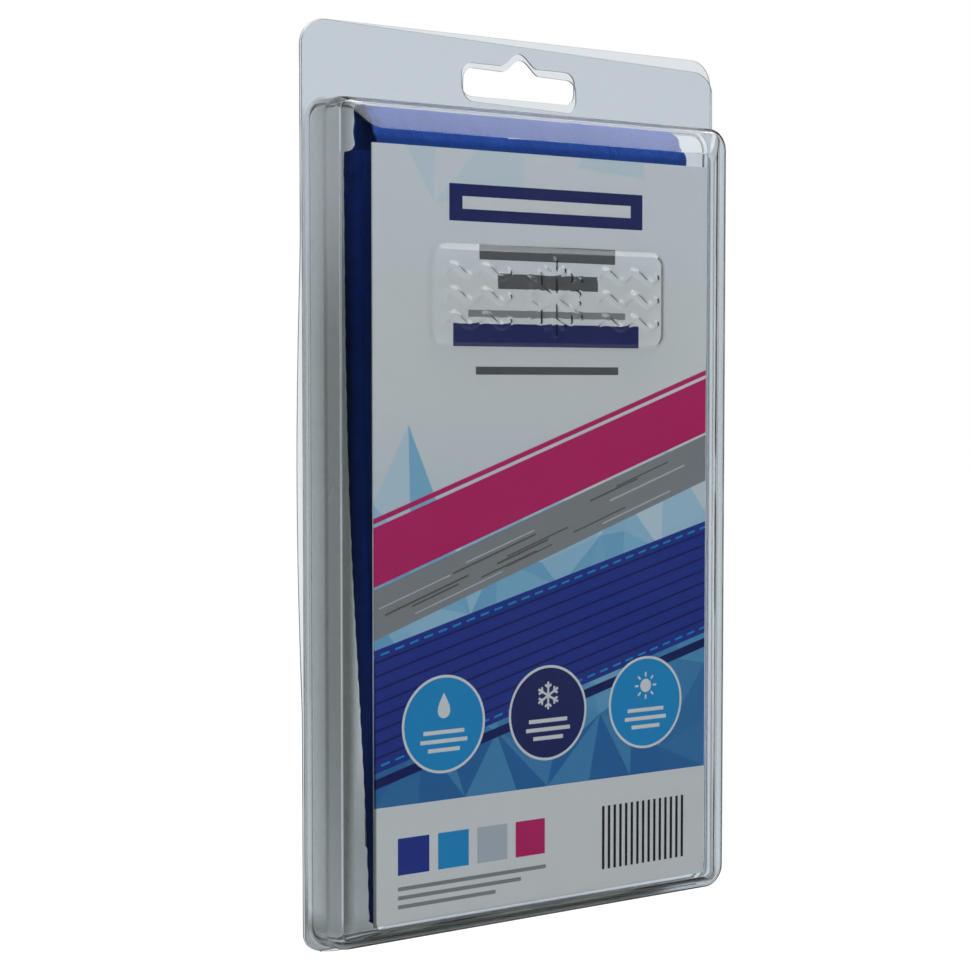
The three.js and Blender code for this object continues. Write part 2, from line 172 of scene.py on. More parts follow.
def roundRing(left, right, foot, top, corner):  # anticlockwise from the front, from the lower right corner
    centres = ((right - corner, foot + corner), (right - corner, top - corner),
               (left + corner, top - corner), (left + corner, foot + corner))
    corners = [(x, z, corner, 90 * i - 90, 26 if i % 2 else 44) for i, (x, z) in enumerate(centres)]
    return roundedLoop(corners, 10)


def loft(count, rings):  # quads between rings of count points
    faces = []
    for begin in range(0, (rings - 1) * count, count):
        for k in range(count):
            here, beside = begin + k, begin + (k + 1) % count
            faces.append((here, beside, beside + count, here + count))
    return faces


# Nodes

def fill(node, inputs):  # each input gets a link or a plain value
    for label, source in inputs.items():
        if isinstance(source, bpy.types.NodeSocket):
            node.id_data.links.new(source, node.inputs[label])
        else:
            node.inputs[label].default_value = source
    return node.outputs


def addNode(tree, kind, inputs=(), **settings):
    node = tree.nodes.new(kind)
    for key, value in settings.items():
        setattr(node, key, value)
    return fill(node, dict(inputs))


def mathNode(tree, operation, *values):
    return addNode(tree, "ShaderNodeMath", enumerate(values), operation=operation)[0]


def rangeNode(tree, value, low, high, fromLow=0.0, fromHigh=1.0):
    return addNode(tree, "ShaderNodeMapRange", {"Value": value, "From Min": fromLow, "From Max": fromHigh,
                                                "To Min": low, "To Max": high})["Result"]


def rampNode(tree, share, *stops):  # stops are (place, colour)
    ramp = tree.nodes.new("ShaderNodeValToRGB")
    for element, (place, colour) in zip(ramp.color_ramp.elements, stops):
        element.position = place
        element.color = (*colour, 1)
    return fill(ramp, {"Fac": share})["Color"]


def bumpNode(tree, height, distance):
    return addNode(tree, "ShaderNodeBump",
                   {"Distance": distance, "Strength": 1.0, "Height": height})["Normal"]


def multiplyColour(tree, colour, factor):
    return addNode(tree, "ShaderNodeMix", {"Factor": 1.0, "A": colour, "B": factor},
                   data_type="RGBA", blend_type="MULTIPLY")["Result"]


def shaderGroup(name, inputs, outputs):
    group = bpy.data.node_groups.new(name, "ShaderNodeTree")
    group.interface.new_socket("Vector", in_out="INPUT", socket_type="NodeSocketVector")
    for label, value in inputs.items():
        socket = group.interface.new_socket(label, in_out="INPUT", socket_type="NodeSocketFloat")
        socket.default_value = value
    for label in outputs:
        group.interface.new_socket(label, in_out="OUTPUT", socket_type="NodeSocketFloat")
    return group, group.nodes.new("NodeGroupInput").outputs, group.nodes.new("NodeGroupOutput")


def weaveGroup():  # plain weave in the units of its vector: thread height, over or under, slow mottle
    group, given, out = shaderGroup("clothWeave", {"Pitch": 0.4, "Mottle Scale": 0.2},
                                    ("Height", "Over", "Mottle"))
    parts = addNode(group, "ShaderNodeSeparateXYZ", {0: given["Vector"]})
    warp, weft = (mathNode(group, "DIVIDE", parts[way], given["Pitch"]) for way in "XY")
    cell = addNode(group, "ShaderNodeCombineXYZ", {"X": warp, "Y": weft, "Z": 0.5})
    over = addNode(group, "ShaderNodeTexChecker", {"Scale": 1.0, "Vector": cell[0]})["Fac"]
    ridges = []
    for share in (warp, weft):
        turned = mathNode(group, "MULTIPLY", share, math.pi)
        ridges.append(mathNode(group, "ABSOLUTE", mathNode(group, "SINE", turned)))
    up = mathNode(group, "MULTIPLY", ridges[0], over)
    down = mathNode(group, "MULTIPLY", ridges[1], mathNode(group, "SUBTRACT", 1.0, over))
    cloud = addNode(group, "ShaderNodeTexNoise",
                    {"Vector": given["Vector"], "Scale": given["Mottle Scale"], "Detail": 4.0})
    fill(out, {"Height": mathNode(group, "ADD", up, down), "Over": over, "Mottle": cloud["Fac"]})
    return group


def grainGroup():  # fine grain with slow clouds, for paper, board and film
    group, given, out = shaderGroup("surfaceGrain", {"Fine Scale": 900.0, "Cloud Scale": 40.0},
                                    ("Grain", "Cloud"))
    for scale, detail, output in (("Fine Scale", 3.0, "Grain"), ("Cloud Scale", 2.0, "Cloud")):
        speck = addNode(group, "ShaderNodeTexNoise",
                        {"Vector": given["Vector"], "Scale": given[scale], "Detail": detail})
        fill(out, {output: speck["Fac"]})
    return group


weave = weaveGroup()
grain = grainGroup()


# Materials

def blankMaterial(name):
    material = bpy.data.materials.new(name)
    material.use_nodes = True
    return material, material.node_tree, material.node_tree.nodes["Principled BSDF"]


def objectPlace(tree):
    return addNode(tree, "ShaderNodeTexCoord")["Object"]


def grainMarks(tree, fine, cloud):
    inputs = {"Vector": objectPlace(tree), "Fine Scale": fine, "Cloud Scale": cloud}
    return addNode(tree, "ShaderNodeGroup", inputs, node_tree=grain)


filmLook = {
    "facing": (0.785, 0.825, 0.86),  # tint where it is looked at square on
    "slanting": (0.345, 0.37, 0.35),  # painted shade where it is seen along the surface
    "leastSlant": 0.35,  # share of that where no shade is painted
    "shadeTint": (0.174, 0.186, 0.166),  # painted shade on the walls
    "shadeRight": 0.1,  # less painted shade on the right
    "shadeTop": 0.08,  # and hardly any over the fold of the wallet
    "chill": 0.45,  # roughness of the dull top wall, where the sheet met the cold mould first
    "lampTint": (0.84, 0.86, 0.87),
    "ior": 1.45,
    "waveDepth": 0.00035,
}


def clearFilm():
    material, tree, shader = blankMaterial("clearFilm")
    marks = grainMarks(tree, 620.0, 26.0)
    facing = addNode(tree, "ShaderNodeLayerWeight", {"Blend": 0.5})["Facing"]
    # the drawn attribute holds the film's painted shade: darker on the walls and along the foot, lighter
    # along the step; below zero it marks the dull top wall
    drawn = addNode(tree, "ShaderNodeAttribute", attribute_name="drawn")["Fac"]
    # painted shade: the film gets darker where it is seen along the surface, more so where the drawn mark is
    # high
    slant = mathNode(tree, "MULTIPLY", rangeNode(tree, facing, 0.0, 1.0, 0.25, 0.62),
                     rangeNode(tree, drawn, filmLook["leastSlant"], 1.0, 0.0, 0.35))
    tint = rampNode(tree, slant, (0.0, filmLook["facing"]), (1.0, filmLook["slanting"]))
    # painted shade: the film's colour darkened by the drawn mark
    shadeTone = rampNode(tree, drawn, (0.0, (1.0, 1.0, 1.0)), (1.0, filmLook["shadeTint"]))
    fine = rangeNode(tree, marks["Grain"], 0.0, 0.07, 0.45, 0.85)
    dull = rangeNode(tree, drawn, filmLook["chill"], 0.0, -1.0, 0.0)
    fill(shader, {
        "Base Color": multiplyColour(tree, tint, shadeTone),
        "Roughness": mathNode(tree, "ADD", fine, dull),
        "Normal": bumpNode(tree, marks["Cloud"], filmLook["waveDepth"]),
        "IOR": filmLook["ior"], "Transmission Weight": 1.0,
    })
    clear = addNode(tree, "ShaderNodeBsdfTransparent", {"Color": (*filmLook["lampTint"], 1)})
    lamp = addNode(tree, "ShaderNodeLightPath")["Is Shadow Ray"]
    both = addNode(tree, "ShaderNodeMixShader", {"Fac": lamp, 1: shader.outputs[0], 2: clear[0]})
    fill(tree.nodes["Material Output"], {"Surface": both[0]})
    return material


def cutFilmEdge():  # the die-cut edge of the film, frosted by the knife
    material, tree, shader = blankMaterial("cutFilmEdge")
    marks = grainMarks(tree, 1500.0, 90.0)
    fill(shader, {
        "Base Color": rampNode(tree, marks["Cloud"], (0.3, (0.30, 0.33, 0.34)), (0.7, (0.62, 0.66, 0.68))),
        "Roughness": rangeNode(tree, marks["Grain"], 0.25, 0.5),
    })
    return material


def printedPaper(name, roughness, coat, grainDepth):  # colours from the piece's own print attribute
    material, tree, shader = blankMaterial(name)
    marks = grainMarks(tree, 2600.0, 60.0)
    printed = addNode(tree, "ShaderNodeAttribute", attribute_name="print")["Color"]
    shade = rampNode(tree, marks["Grain"], (0.2, (0.90, 0.90, 0.90)), (0.8, (1.0, 1.0, 1.0)))
    fill(shader, {
        "Base Color": multiplyColour(tree, printed, shade),
        "Roughness": rangeNode(tree, marks["Cloud"], *roughness, 0.3, 0.7),
        "Normal": bumpNode(tree, marks["Grain"], grainDepth),
        "Coat Weight": coat, "Coat Roughness": 0.25,
    })
    return material


def wovenCloth(name, dark, light, pitch, depth, sheen, sheenTint, roughness=(0.7, 0.9), mottle=0.78):
    material, tree, shader = blankMaterial(name)
    place = addNode(tree, "ShaderNodeUVMap", uv_map="cloth")["UV"]
    threads = addNode(tree, "ShaderNodeGroup", {"Vector": place, "Pitch": pitch, "Mottle Scale": 0.16},
                      node_tree=weave)
    colour = rampNode(tree, threads["Height"], (0.05, dark), (0.95, light))
    cloud = rampNode(tree, threads["Mottle"], (0.3, (mottle,) * 3), (0.7, (1.0, 1.0, 1.0)))
    fill(shader, {
        "Base Color": multiplyColour(tree, colour, cloud),
        "Roughness": rangeNode(tree, threads["Over"], *roughness),
        "Normal": bumpNode(tree, threads["Height"], depth),
        "Specular IOR Level": 0.1,
        "Sheen Weight": sheen, "Sheen Roughness": 0.4, "Sheen Tint": (*sheenTint, 1),
    })
    return material


def spunThread(name, dark, light):  # twisted thread, its strands as slanting bands
    material, tree, shader = blankMaterial(name)
    inputs = {"Vector": objectPlace(tree), "Scale": 900.0, "Distortion": 1.5}
    bands = addNode(tree, "ShaderNodeTexWave", inputs, bands_direction="DIAGONAL")["Fac"]
    fill(shader, {
        "Base Color": rampNode(tree, bands, (0.1, dark), (0.9, light)),
        "Roughness": rangeNode(tree, bands, 0.45, 0.7),
        "Normal": bumpNode(tree, bands, 0.00004),
        "Sheen Weight": 0.05, "Specular IOR Level": 0.2,
    })
    return material


def granules():
    material, tree, shader = blankMaterial("dryGranules")
    cells = addNode(tree, "ShaderNodeTexVoronoi", {"Vector": objectPlace(tree), "Scale": 1400.0})["Distance"]
    fill(shader, {
        "Base Color": rampNode(tree, cells, (0.0, (0.92, 0.94, 0.94)), (0.8, (0.62, 0.66, 0.68))),
        "Roughness": rangeNode(tree, cells, 0.25, 0.6),
        "Normal": bumpNode(tree, mathNode(tree, "SUBTRACT", 1.0, cells), 0.0003),
    })
    return material


filmFinish = clearFilm()
cutFinish = cutFilmEdge()
cardFinish = printedPaper("coatedCard", (0.34, 0.5), 0.15, 0.00001)
leafletFinish = printedPaper("leafletPaper", (0.75, 0.92), 0.0, 0.00004)
coverFinish = wovenCloth("coverCloth", (0.004, 0.017, 0.12), (0.013, 0.068, 0.36), 0.42, 0.00010,
                         0.3, (0.35, 0.55, 1.0))
seamFinish = wovenCloth("seamCloth", (0.004, 0.017, 0.12), (0.012, 0.054, 0.33), 0.34, 0.00010,
                        0.06, (0.35, 0.55, 1.0))
tapeFinish = wovenCloth("tapeCloth", (0.006, 0.012, 0.07), (0.016, 0.032, 0.17), 0.5, 0.00012,
                        0.15, (0.7, 0.8, 1.0))
labelFinish = wovenCloth("labelSatin", (0.62, 0.62, 0.60), (0.82, 0.82, 0.80), 0.22, 0.00004,
                         0.2, (1.0, 1.0, 1.0), (0.4, 0.6), 0.95)
pouchFinish = wovenCloth("pouchCotton", (0.022, 0.024, 0.034), (0.060, 0.066, 0.092), 0.5, 0.00014,
                         0.2, (0.8, 0.85, 1.0))
threadFinish = spunThread("coverThread", (0.005, 0.014, 0.10), (0.016, 0.045, 0.25))
napFinish = spunThread("napThread", (0.006, 0.010, 0.05), (0.03, 0.05, 0.2))
paleThread = spunThread("labelThread", (0.5, 0.5, 0.5), (0.85, 0.85, 0.84))
granuleFinish = granules()
print("materials made:", len(bpy.data.materials))


# Clear shell: sizes in mm, side runs as (sides, foot, top)

shell = {
    "film": 0.5,
    "leafFace": 0.65,  # outer faces of the two leaves, either way from the parting plane
    "halfWidth": 57.7,
    "height": 205.0,
    "footCorner": 4.0,
    "headCorner": 6.0,
    "bubbleHalf": 56.5,
    "bubbleFoot": 0.8,
    "bubbleTop": 187.7,
    "bubbleCorner": 5.0,
    "faceCorner": 2.2,
    "rootRadius": 0.45,
    "stepRadius": 0.18,  # where the upper step rises from the shoulder
    "stepShare": 0.05,
    "tierOne": (1.6, 1.7, 0.8),
    "shoulder": (1.8, 0.7, 0.4),
    "tierTwo": (6.1, 2.6, 6.0),
    "draftOne": 0.28,
    "wallShare": (0.44, 0.44, 0.55),  # of the upper step's run, straight before it turns to the face
    "wallOne": 6.6,
    "depthOne": 8.9,
    "wallTwo": 11.5,
    "depthTwo": 13.3,
    "filletSteps": 9,
    "shoulderShare": 0.96,  # of the shoulder, level before the step's fillet
    "stripTop": 7.2,  # a row of points across the face's foot edge, below the card
    "stripHalf": 44.0,
    "stripShade": 6.4,  # painted shade on the face below this
    "leafDrop": 1.6,  # the front leaf is cut lower than the back one, and askew
    "leafSkew": 0.026,
    "skewFrom": 189.0,
}
header = {  # inner points of the leaves over the bubble, clear of the slot, and how far the leaves curl
    "half": 54.0, "foot": 190.0, "top": 203.0, "across": 3.0, "up": 2.2, "clearSide": 1.5, "clearFoot": 4.0,
    "curl": 0.10, "curlRun": 8.0, "curlScale": 0.05,
}
filmShade = {  # painted shade on the film, from the leaf to the front face
    "root": 0.36, "wall": 0.68, "turn": 0.95, "shoulder": 0.86, "step": 0.4,
    "wallTwo": ((0.06, 1.2), (0.3, 1.1), (0.6, 0.9), (0.8, 0.7), (1.0, 0.55)),  # shares of its height
    "foot": 0.95,
    "lowFace": 0.8,
    "leafFoot": 1.1, "leaf": 0.55,
    "footLeft": 0.7, "lowest": 0.85, "highest": 0.66,  # shares of it at those places
    "dull": -1.0,  # marks the dull top wall
}
shadeFade = {  # where the painted shade changes, as (from, run) in mm across or up, with sides counted inwards
    "right": (-10, 60), "footLeft": (-52, 8), "footRight": (33, 8), "footRise": (3, 4),
    "fold": (175, 8), "foldSide": (-50, 6), "lowest": (0, 60), "highest": (130, 45),
    "lowFace": (-75, 50), "strip": (6, 3), "dull": (186.1, 0.3), "dullSide": (-51, 2),
    "leafFoot": (0, 24), "leafTop": (180, 7),
}
slot = {"halfWidth": 16.0, "foot": 191.2, "top": 198.8, "corner": 2.8,
        "archHalf": 5.0, "archRise": 3.1, "archPower": 0.8}
panel = {"half": 32.7, "foot": 133.5, "top": 156.5, "corner": 3.5, "raise": 0.8, "slope": 1.3, "step": 0.26,
         "margin": 0.8}
motif = {
    "raise": 0.55, "rib": 2.6, "slope": 0.95,
    "starReach": 8.2, "twig": 2.8, "knee": 4.9, "spokes": 6,
    "waves": 3, "waveFrom": 21.0, "waveLength": 17.0, "waveHeight": 1.1, "wavePitch": 5.4,
}


def bubbleRing(one, shoulder=0.0, two=(0.0, 0.0, 0.0), spread=0.0):  # shares of the runs, two in mm
    runs = zip(shell["tierOne"], shell["shoulder"], two)
    side, foot, top = (one * first + shoulder * second + third for first, second, third in runs)
    half = shell["bubbleHalf"] - side + spread
    corner = mix(shell["bubbleCorner"], shell["faceCorner"], shoulder) + spread
    return roundRing(-half, half, shell["bubbleFoot"] + foot - spread, shell["bubbleTop"] - top + spread,
                     corner)


def bubbleStages():  # (ring, depth, painted shade of the film) from the leaf to the front face
    stages = []
    root, step, share = (shell[key] for key in ("rootRadius", "stepRadius", "stepShare"))
    steps = shell["filletSteps"]
    leaf, low, face, runs = (shell[key] for key in ("leafFace", "depthOne", "depthTwo", "tierTwo"))
    for sine, cosine in quarter(4):
        depth = leaf + root * (1 - cosine)
        stages.append((bubbleRing(0, spread=root * (1 - sine)), depth, filmShade["root"]))
    for s in shares(6, 1):
        depth = mix(leaf + root, shell["wallOne"], s)
        drawn = mix(filmShade["root"], filmShade["wall"], s)
        stages.append((bubbleRing(shell["draftOne"] * s), depth, drawn))
    for k, (sine, cosine) in enumerate(quarter(steps, 1)):
        one = mix(shell["draftOne"], 1, 1 - cosine)
        drawn = filmShade["turn" if k < 3 else "shoulder"]
        stages.append((bubbleRing(one), mix(shell["wallOne"], low, sine), drawn))
    for s in shares(3, 1):
        stages.append((bubbleRing(1, (shell["shoulderShare"] - share) * s), low, filmShade["shoulder"]))
    for sine, cosine in quarter(4):  # less painted shade along the step, a painted bright line
        stages.append((bubbleRing(1, 1 - share * (1 - sine)), low + step * (1 - cosine), filmShade["step"]))
    base = low + step
    walls = [part * run for part, run in zip(shell["wallShare"], runs)]
    turns = [min(wall * (face - base) / (shell["wallTwo"] - base), run) for wall, run in zip(walls, runs)]
    for part, drawn in filmShade["wallTwo"]:
        depth = mix(base, shell["wallTwo"], part)
        stages.append((bubbleRing(1, 1, [wall * part for wall in walls]), depth, drawn))
    for u in shares(steps, 1):
        two = [(1 - u) ** 2 * wall + 2 * u * (1 - u) * turn + u * u * run
               for wall, turn, run in zip(walls, turns, runs)]
        depth = face - (1 - u) ** 2 * (face - shell["wallTwo"])
        stages.append((bubbleRing(1, 1, two), depth, mix(drawn, 0.0, u)))
    return stages


def fade(name, value):
    begin, run = shadeFade[name]
    return ease((value - begin) / run)


def shadeAt(x, z):  # painted shade on the film, most at the left and along the foot, least over the fold
    least = filmLook["shadeRight"]
    side = mix(1.0, least, fade("right", x))
    foot = mix(mix(filmShade["footLeft"], 1.0, fade("footLeft", x)), least, fade("footRight", x))
    here = mix(foot, side, fade("footRise", z))
    here *= mix(1.0, filmLook["shadeTop"], fade("fold", z) * fade("foldSide", -abs(x)))
    here *= mix(filmShade["lowest"], 1.0, fade("lowest", z))
    return here * mix(1.0, filmShade["highest"], fade("highest", z))


def bubbleShade(x, depth, z, drawn):  # painted shade at one place of the bubble, darker on the lower face and along the foot; the dull top wall is marked below zero
    low = filmShade["lowFace"] * fade("lowFace", -z) if depth > shell["depthOne"] + 1 else 0.0
    mark = max(drawn, low)
    mark = mix(max(mark, filmShade["foot"]), mark, fade("strip", z)) * shadeAt(x, z)
    return mix(mark, filmShade["dull"], fade("dull", z) * fade("dullSide", -abs(x)))


# painted shade on the leaves, darker along their foot and none on the header
def leafShade(x, z):
    mark = mix(filmShade["leafFoot"], filmShade["leaf"], fade("leafFoot", z))
    return mark * (1 - fade("leafTop", z)) * shadeAt(x, z)


def motifLines():  # the raised ribs: a frost star in the middle and waves on each side
    middle = (panel["foot"] + panel["top"]) / 2
    lines = []
    for k in range(motif["spokes"]):
        a = math.radians(90 + 360 * k / motif["spokes"])
        way = np.array((math.cos(a), math.sin(a)))
        lines.append([(0, middle), tuple(way * motif["starReach"] + (0, middle))])
        knee = way * motif["knee"] + (0, middle)
        for turn in (-60, 60):
            b = a + math.radians(turn)
            lines.append([tuple(knee), tuple(knee + np.array((math.cos(b), math.sin(b))) * motif["twig"])])
    for side in (-1, 1):
        begin = side * motif["waveFrom"] - motif["waveLength"] / 2
        for k in range(motif["waves"]):
            z = middle + (k - (motif["waves"] - 1) / 2) * motif["wavePitch"]
            rise = [motif["waveHeight"] * math.sin(4 * math.pi * s) for s in shares(24)]
            lines.append([(begin + motif["waveLength"] * s, z + up) for s, up in zip(shares(24), rise)])
    return lines


def ribDistance(points, lines):
    best = np.full(len(points), 99.0)
    for line in lines:
        for (ax, az), (bx, bz) in zip(line, line[1:]):
            a, way = np.array((ax, az)), np.array((bx - ax, bz - az))
            along = np.clip((points - a) @ way / (way @ way), 0, 1)
            best = np.minimum(best, np.linalg.norm(points - a - along[:, None] * way, axis=1))
    return best


def softRamp(values):  # an even slope with a little rounding at both ends
    t = np.clip(values, 0, 1)
    return 0.7 * t + 0.3 * t * t * (3 - 2 * t)


def faceRaise(points):  # how far the raised panel and its motif stand off the front face
    middle = (0.0, (panel["foot"] + panel["top"]) / 2)
    half = np.array((panel["half"], (panel["top"] - panel["foot"]) / 2)) - panel["corner"]
    off = np.abs(points - middle) - half
    outside = np.linalg.norm(np.maximum(off, 0), axis=1) + np.minimum(off.max(axis=1), 0) - panel["corner"]
    plateau = panel["raise"] * softRamp(-outside / panel["slope"])
    inRib = motif["rib"] / 2 - ribDistance(points, motifLines())
    return plateau + motif["raise"] * softRamp(inRib / motif["slope"]) * (outside < 0)


def leafOutline(drop=0.0, skew=0.0):
    half, high, foot, head = (shell[key] for key in ("halfWidth", "height", "footCorner", "headCorner"))
    ring = roundedLoop(((half - foot, foot, foot, -90, 60), (half - head, high - head, head, 0, 40),
                        (head - half, high - head, head, 90, 60), (foot - half, foot, foot, 180, 40)), 12)
    rise = high - shell["skewFrom"]
    return [(x, z - (drop + skew * x) * clamp((z - shell["skewFrom"]) / rise)) for x, z in ring]


def slotOutline(drop=0.0, skew=0.0):
    side, corner = slot["halfWidth"] - slot["corner"], slot["corner"]
    low, high = slot["foot"] + corner, slot["top"] - corner
    points = arc(side, low, corner, -90) + arc(side, high, corner, 0)
    for s in shares(24):  # the arch over the middle, from right to left
        share = 1 - 2 * s
        lift = slot["archRise"] * (0.5 + 0.5 * math.cos(math.pi * share)) ** slot["archPower"]
        points.append((slot["archHalf"] * share, slot["top"] + lift))
    points += arc(-side, high, corner, 90) + arc(-side, low, corner, 180)
    return [(x, z - drop - skew * x) for x, z in points]


def headerPoints():  # inner points that let the header curl a little
    side, foot = slot["halfWidth"] + header["clearSide"], slot["foot"] - header["clearFoot"]
    return [(x, z)
            for x in np.arange(-header["half"], header["half"] + 0.1, header["across"])
            for z in np.arange(header["foot"], header["top"], header["up"])
            if abs(x) >= side or z <= foot]


def headerCurl(x, z, seed):
    rise = clamp((z - header["foot"]) / header["curlRun"])
    return header["curl"] * ripple(x, seed, z, header["curlScale"]) * rise


def addFlat(points, faces, kept, placed):  # a flat part's own points and faces
    base = len(points)
    points.extend(placed)
    faces.extend(tuple(base + i for i in f) for f in kept)
    return base


def frontFilmPiece():
    stages = bubbleStages()
    count = len(stages[0][0])
    points = [at(x, depth, z) for ring, depth, drawn in stages for x, z in ring]
    faces = loft(count, len(stages))
    marks = [bubbleShade(x, depth, z, drawn) for ring, depth, drawn in stages for x, z in ring]
    margin, step, tinted = panel["margin"], panel["step"], shell["stripShade"]
    grid = [(x, z)
            for x in np.arange(-panel["half"] - margin, panel["half"] + margin + 0.01, step)
            for z in np.arange(panel["foot"] - margin, panel["top"] + margin + 0.01, step)]
    grid += [(x, shell["stripTop"]) for x in np.arange(-shell["stripHalf"], shell["stripHalf"] + 0.1, 2.0)]
    flat, kept = flatFill(stages[-1][0], (), grid)
    lifts = faceRaise(np.array([tuple(p) for p in flat]))
    addFlat(points, faces, kept, [at(p.x, shell["depthTwo"] + lift, p.y) for p, lift in zip(flat, lifts)])
    # painted shade along the face's foot, below the card
    marks += [filmShade["foot"] * shadeAt(p.x, p.y) if p.y < tinted else 0.0 for p in flat]
    cut = (shell["leafDrop"], shell["leafSkew"])
    flat, kept = flatFill(leafOutline(*cut), (stages[0][0], slotOutline(*cut)), headerPoints())
    addFlat(points, faces, kept, [at(p.x, shell["leafFace"] + headerCurl(p.x, p.y, 0), p.y) for p in flat])
    marks += [leafShade(p.x, p.y) for p in flat]
    piece = newPiece("frontFilm", points, faces, filmFinish)
    layer = piece.data.attributes.new("drawn", "FLOAT", "CORNER")  # the painted shade, at each corner, so that edges stay crisp
    layer.data.foreach_set("value", [marks[k] for face in piece.data.polygons for k in face.vertices])
    thicken(mergePoints(piece), shell["film"], rim=cutFinish)
    return dress(piece, "front_half", "clear_film", "front_shell")


plug = {"clearance": 0.35, "face": 1.0, "root": 0.4, "fillet": 0.35, "sag": 0.12}
edgeBow = {"from": 52.0, "to": 156.0, "out": 0.9, "back": 0.3, "reach": 2.4}  # the back leaf's slack edge


def bowAt(x, z):
    span = (z - edgeBow["from"]) / (edgeBow["to"] - edgeBow["from"])
    lens = math.sin(math.pi * span) if 0 < span < 1 else 0.0
    return lens * ease((-x - shell["halfWidth"] + edgeBow["reach"]) / edgeBow["reach"])


def backFilmPiece():
    wall = shell["film"] * 2 + plug["clearance"]
    leaf, face = -shell["leafFace"], plug["face"] - shell["film"]
    root, fillet = plug["root"], plug["fillet"]

    def plugRing(spread):
        half = shell["bubbleHalf"] - wall + spread
        foot, top = shell["bubbleFoot"] + wall - spread, shell["bubbleTop"] - wall + spread
        return roundRing(-half, half, foot, top, shell["bubbleCorner"] - wall + spread)

    stages = [(plugRing(root * (1 - sine)), leaf + root * (1 - cosine)) for sine, cosine in quarter(4)]
    stages += [(plugRing(-fillet * (1 - cosine)), face - fillet * (1 - sine)) for sine, cosine in quarter(4)]
    points = [at(x, depth, z) for ring, depth in stages for x, z in ring]
    faces = loft(len(stages[0][0]), len(stages))
    inner = [(x, z) for x in range(-50, 51, 10) for z in range(10, 181, 10)]
    flat, kept = flatFill(stages[-1][0], (), inner)
    placed = []
    for p in flat:
        sags = (round(p.x), round(p.y)) in inner
        placed.append(at(p.x, face + plug["sag"] * sags * ripple(p.x, 3, p.y, 0.03), p.y))
    addFlat(points, faces, kept, placed)
    flat, kept = flatFill(leafOutline(), (stages[0][0], slotOutline()), headerPoints())
    placed = []
    for p in flat:
        bow = bowAt(p.x, p.y)
        depth = leaf + headerCurl(p.x, p.y, 7) - edgeBow["back"] * bow
        placed.append(at(p.x - edgeBow["out"] * bow, depth, p.y))
    addFlat(points, faces, kept, placed)
    piece = mergePoints(newPiece("backFilm", points, [tuple(reversed(f)) for f in faces], filmFinish))
    thicken(piece, shell["film"], rim=cutFinish)
    return dress(piece, "back_half", "clear_film", "back_shell")


def sheetFaces(rows, columns, flipped=False):
    quads = [(r * columns + c, r * columns + c + 1, (r + 1) * columns + c + 1, (r + 1) * columns + c)
             for r in range(rows - 1) for c in range(columns - 1)]
    return [tuple(reversed(f)) for f in quads] if flipped else quads


hinge = {"halfLength": 53.7, "top": -0.1, "reach": 0.62, "edge": 0.4, "film": 0.22, "uneven": 0.12,
         "endRun": 4, "endShare": 0.3, "steps": 12, "slices": 60}


def hingeWebPiece():  # the crease that joins the leaves along the foot
    points = []
    for i in shares(hinge["slices"]):
        x = mix(-hinge["halfLength"], hinge["halfLength"], i)
        thin = mix(hinge["endShare"], 1.0, ease((hinge["halfLength"] - abs(x)) / hinge["endRun"]))
        deep = hinge["reach"] * thin * (1 + hinge["uneven"] * ripple(x, 0, 0, 0.3))
        for k in shares(hinge["steps"]):
            drop = deep * math.sin(math.pi * k)
            points.append(at(x, -hinge["edge"] * math.cos(math.pi * k), hinge["top"] - drop))
    faces = sheetFaces(hinge["slices"] + 1, hinge["steps"] + 1, True)
    piece = newPiece("hingeWeb", points, faces, filmFinish)
    thicken(piece, hinge["film"], 0.0, cutFinish)
    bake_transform(piece)
    return dress(piece, None, "clear_film", "living_hinge")


frontFilm = frontFilmPiece()
backFilm = backFilmPiece()
hingeWebPiece()
print("clear shell made:", len(frontFilm.data.polygons), "+", len(backFilm.data.polygons), "faces")


# Print: shapes laid over each other on one flat sheet, each with its own ink

def ink(*seen):  # red, green and blue from 0 to 255 as seen, to the linear colour that shaders use
    return tuple((c / 255 / 12.92) if c <= 10 else ((c / 255 + 0.055) / 1.055) ** 2.4 for c in seen)


def boxShape(left, foot, wide, high):
    return [(left, foot), (left + wide, foot), (left + wide, foot + high), (left, foot + high)]


def discShape(cx, cz, radius, sides=48):
    turns = [2 * math.pi * k / sides for k in range(sides)]
    return [(cx + radius * math.cos(a), cz + radius * math.sin(a)) for a in turns]


def barShape(ax, az, bx, bz, wide):
    length = math.hypot(bx - ax, bz - az)
    nx, nz = -(bz - az) / length * wide / 2, (bx - ax) / length * wide / 2
    return [(ax - nx, az - nz), (bx - nx, bz - nz), (bx + nx, bz + nz), (ax + nx, az + nz)]


def dropShapes(cx, cz, size, wide):  # wide goes unused, as a drop has no lines
    turns = [2 * math.pi * k / 28 for k in range(28)]
    sides = [math.sin(a) * math.sin(a / 2) ** 1.4 for a in turns]
    return [[(cx + size * side, cz + size * 1.25 * math.cos(a)) for a, side in zip(turns, sides)]]


def flakeShapes(cx, cz, size, wide):
    shapes = []
    for k in range(6):
        a = math.radians(30 + 60 * k)
        ex, ez = cx + size * math.cos(a), cz + size * math.sin(a)
        shapes.append(barShape(cx, cz, ex, ez, wide))
        kx, kz = mix(cx, ex, 0.6), mix(cz, ez, 0.6)
        for turn in (-55, 55):
            b = a + math.radians(turn)
            tip = (kx + size * 0.34 * math.cos(b), kz + size * 0.34 * math.sin(b))
            shapes.append(barShape(kx, kz, *tip, wide))
    return shapes


